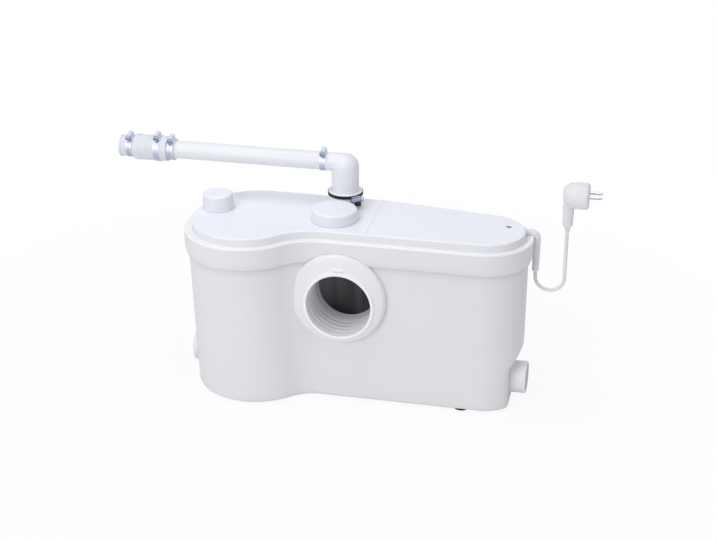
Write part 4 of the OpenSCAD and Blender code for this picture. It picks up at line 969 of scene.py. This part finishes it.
def addBand(bm, place, r, wide, slotted):
    c = clamp
    slots = round(2 * pi * r / c["slotPitch"])
    count = slots * 4
    inner = [-c["slotWide"] / 2, c["slotWide"] / 2] if slotted else []
    across = [-wide / 2] + inner + [wide / 2]
    sheets = []
    for radius in (r + c["bandThick"], r):
        sheet = []
        for k in range(count):
            angles = [2 * pi * k / count + w * c["slotLean"] for w in across]
            sheet.append([bm.verts.new(place @ Vector((radius * cos(a), radius * sin(a), w)))
                          for a, w in zip(angles, across)])
        sheets.append(sheet)

    def kept(k, j):  # whether the band has metal here
        return 0 <= j < len(across) - 1 and not (slotted and j == 1 and k % 4 == 0)

    for k in range(count):
        n = (k + 1) % count
        for j in range(len(across) - 1):
            if not kept(k, j):
                continue
            for s in sheets:
                bm.faces.new((s[k][j], s[n][j], s[n][j + 1], s[k][j + 1]))
            top, low = sheets
            sides = ((kept(k, j - 1), (k, j), (n, j)), (kept(k, j + 1), (k, j + 1), (n, j + 1)),
                     (kept((k - 1) % count, j), (k, j), (k, j + 1)), (kept(n, j), (n, j), (n, j + 1)))
            for beside, a, b in sides:
                if not beside:
                    bm.faces.new((top[a[0]][a[1]], top[b[0]][b[1]], low[b[0]][b[1]], low[a[0]][a[1]]))


def addHousing(bm, worm, wide):
    c = clamp
    low, high, steps = c["houseLow"], c["houseHigh"], c["houseSteps"]
    rings = []
    for h, inner in ((low, False), (high, False), (high, True), (low, True)):
        ring = []
        for k in range(steps):
            a = 2 * pi * k / steps + 0.01
            dx, dy = cos(a), sin(a)
            far = c["wormRadius"] + 0.05 if inner else c["arch"]
            if not inner and dx < 0:
                base = min((c["wormOut"] - 0.3) / -dx, wide / 2 / max(abs(dy), 0.001))
                far = max(far, base) if base * dx < c["archFoot"] else far
            ring.append(bm.verts.new(worm @ Vector((far * dx, far * dy, h))))
        rings.append(ring)
    joinRings(bm, rings, loop=True)


def makeClamps(kind):
    bm = bmesh.new()
    for x, r in clampSets[kind]:
        addBand(bm, onPipe(x), r, clamp["bandWide"], True)
        addHousing(bm, onWorm(onPipe(x), r), clamp["houseWide"])
    addPiece(kind + "Clamps", bm, bandSteel, "clamp_steel", kind + "_clamps", body="discharge")


def makeScrew(name, worm, body, node):
    c = clamp
    low, top, r = c["houseLow"], c["houseHigh"], c["head"]
    end = top + c["headLong"]
    head = [(0, top + 0.1), (r * 0.9, top + 0.1), (r, top + 0.6), (r, end - 0.8), (r * 0.8, end), (0, end)]
    wide, deep = c["slot"]
    tool = bmesh.new()
    addBlock(tool, worm @ Matrix.Translation((0, 0, end)), (wide, 3 * r, 2 * deep))
    bm = carve(turned(head, worm, loop=False, steps=6), tool)
    root, crest = c["wormRadius"] - c["threadDeep"], c["wormRadius"] - 0.02
    profile = [(0, low - 0.4), (2.2, low - 0.4)]
    z = low
    while z < top - 0.8:  # thread
        profile += [(root, z), (crest, z + 0.5), (crest, z + 0.8), (root, z + 1.3)]
        z += c["threadPitch"]
    lathe(bm, profile + [(root, top + 0.2), (0, top + 0.2)], worm, loop=False, steps=32)
    addPiece(name, bm, screwSteel, "clamp_steel", node, body=body)


for kind in clampSets:
    makeClamps(kind)
for kind, places in clampSets.items():
    for side, (x, r) in zip(("Right", "Left"), places):
        end = side.lower()
        makeScrew(f"{kind}Screw{side}", onWorm(onPipe(x), r), f"{kind}_screw_{end}", screwNodes[kind] + end)

# black clamp round the discharge sleeve, its steel worm hanging at the front right
neckClamp = {"z": 300.5, "turn": -45, "radius": 26.5, "wide": 5, "drop": 3, "houseWide": 9, "lug": (6, 7, 9),
             "lugAt": (-0.5, 7.4, 3)}


def makeNeckClamp():
    n = neckClamp
    x, y = spots["riser"]
    place = facing(x, y, n["z"], radians(n["turn"]), "Z") @ Matrix.Rotation(pi, 4, "X")
    worm = onWorm(place, n["radius"], n["drop"])
    bm = bmesh.new()
    addBand(bm, place, n["radius"], n["wide"], False)
    easeBlock(bm, addBlock(bm, worm @ Matrix.Translation(n["lugAt"]), n["lug"]), 0.8, 2)
    addPiece("dischargeClamp", bm, blackBand, "clamp_black", "discharge_clamp")
    bm = bmesh.new()
    addHousing(bm, worm, n["houseWide"])
    addPiece("dischargeClampHousing", bm, housingSteel, "clamp_steel", "discharge_clamp")
    makeScrew("dischargeClampScrew", worm, "neck_clamp_screw", "discharge_clamp_screw")


makeNeckClamp()
print("pieces made")

# studio: pale floor, white surround for the eye, soft lamps at a plain level
studio = {"floor": 12, "floorColor": "#f4f4f5", "ambient": 0.5, "ambientColor": "#f6f7fa", "shadowKept": 0.1,
          "shadowFrom": 0.4, "shadowTo": 0.9}
# name, place, aim, size in metres and power in watts
lamps = [("topLamp", (-0.4, -0.3, 2.6), (0.05, 0, 0.15), 2.6, 27),
         ("frontLamp", (-0.9, -2.6, 1.4), (0.05, 0, 0.15), 1.4, 25),
         ("sideLamp", (2.2, -0.6, 1.4), (0.05, 0, 0.2), 1.4, 3)]


def emptyTree(owner):
    owner.use_nodes = True
    owner.node_tree.nodes.clear()
    return owner.node_tree


def makeStudio():
    world = bpy.data.worlds.new("studioWorld")
    scene.world = world
    tree = emptyTree(world)
    path = addNode(tree, "ShaderNodeLightPath").outputs
    seen = path["Is Camera Ray"]
    for ray in ("Is Glossy Ray", "Is Transmission Ray"):
        seen = addNode(tree, "ShaderNodeMath", links={0: seen, 1: path[ray]}, operation="MAXIMUM").outputs[0]
    tone = hexColor(studio["ambientColor"])
    soft = addNode(tree, "ShaderNodeBackground", {"Color": tone, "Strength": studio["ambient"]})
    white = addNode(tree, "ShaderNodeBackground", {"Color": (1, 1, 1, 1), "Strength": 1.0})
    mixed = addNode(tree, "ShaderNodeMixShader", links={0: seen, 1: soft.outputs[0], 2: white.outputs[0]})
    addNode(tree, "ShaderNodeOutputWorld", links={"Surface": mixed.outputs[0]})

    half = studio["floor"] / 2
    mesh = bpy.data.meshes.new("studioFloor")
    corners = [(-half, -half, 0), (half, -half, 0), (half, half, 0), (-half, half, 0)]
    mesh.from_pydata(corners, [], [(0, 1, 2, 3)])
    floor = addObject("studioFloor", mesh)
    material = bpy.data.materials.new("paperFloorPale")
    tree = emptyTree(material)
    seen = addNode(tree, "ShaderNodeLightPath").outputs["Is Camera Ray"]
    paper = addNode(tree, "ShaderNodeBsdfDiffuse", {"Color": hexColor(studio["floorColor"])})
    glow = addNode(tree, "ShaderNodeEmission", {"Color": (1, 1, 1, 1), "Strength": 1.0})
    places = addNode(tree, "ShaderNodeTexCoord")
    away = addNode(tree, "ShaderNodeVectorMath", links={0: places.outputs["Object"]}, operation="LENGTH")
    span = {"From Min": studio["shadowFrom"], "From Max": studio["shadowTo"],
            "To Min": 1 - studio["shadowKept"], "To Max": 1.0}
    fading = addNode(tree, "ShaderNodeMapRange", span, {"Value": away.outputs["Value"]})
    kept = addNode(tree, "ShaderNodeMath", links={0: seen, 1: fading.outputs["Result"]}, operation="MULTIPLY")
    mixed = addNode(tree, "ShaderNodeMixShader",
                    links={0: kept.outputs[0], 1: paper.outputs[0], 2: glow.outputs[0]})
    addNode(tree, "ShaderNodeOutputMaterial", links={"Surface": mixed.outputs[0]})
    mesh.materials.append(material)
    for name, spot, aim, size, watts in lamps:
        data = bpy.data.lights.new(name, "AREA")
        data.shape = "DISK"
        data.size = size
        data.energy = watts
        lamp = addObject(name, data)
        lamp.location = spot
        lamp.rotation_euler = (Vector(spot) - Vector(aim)).to_track_quat("Z", "Y").to_euler()


makeStudio()
print("studio made")
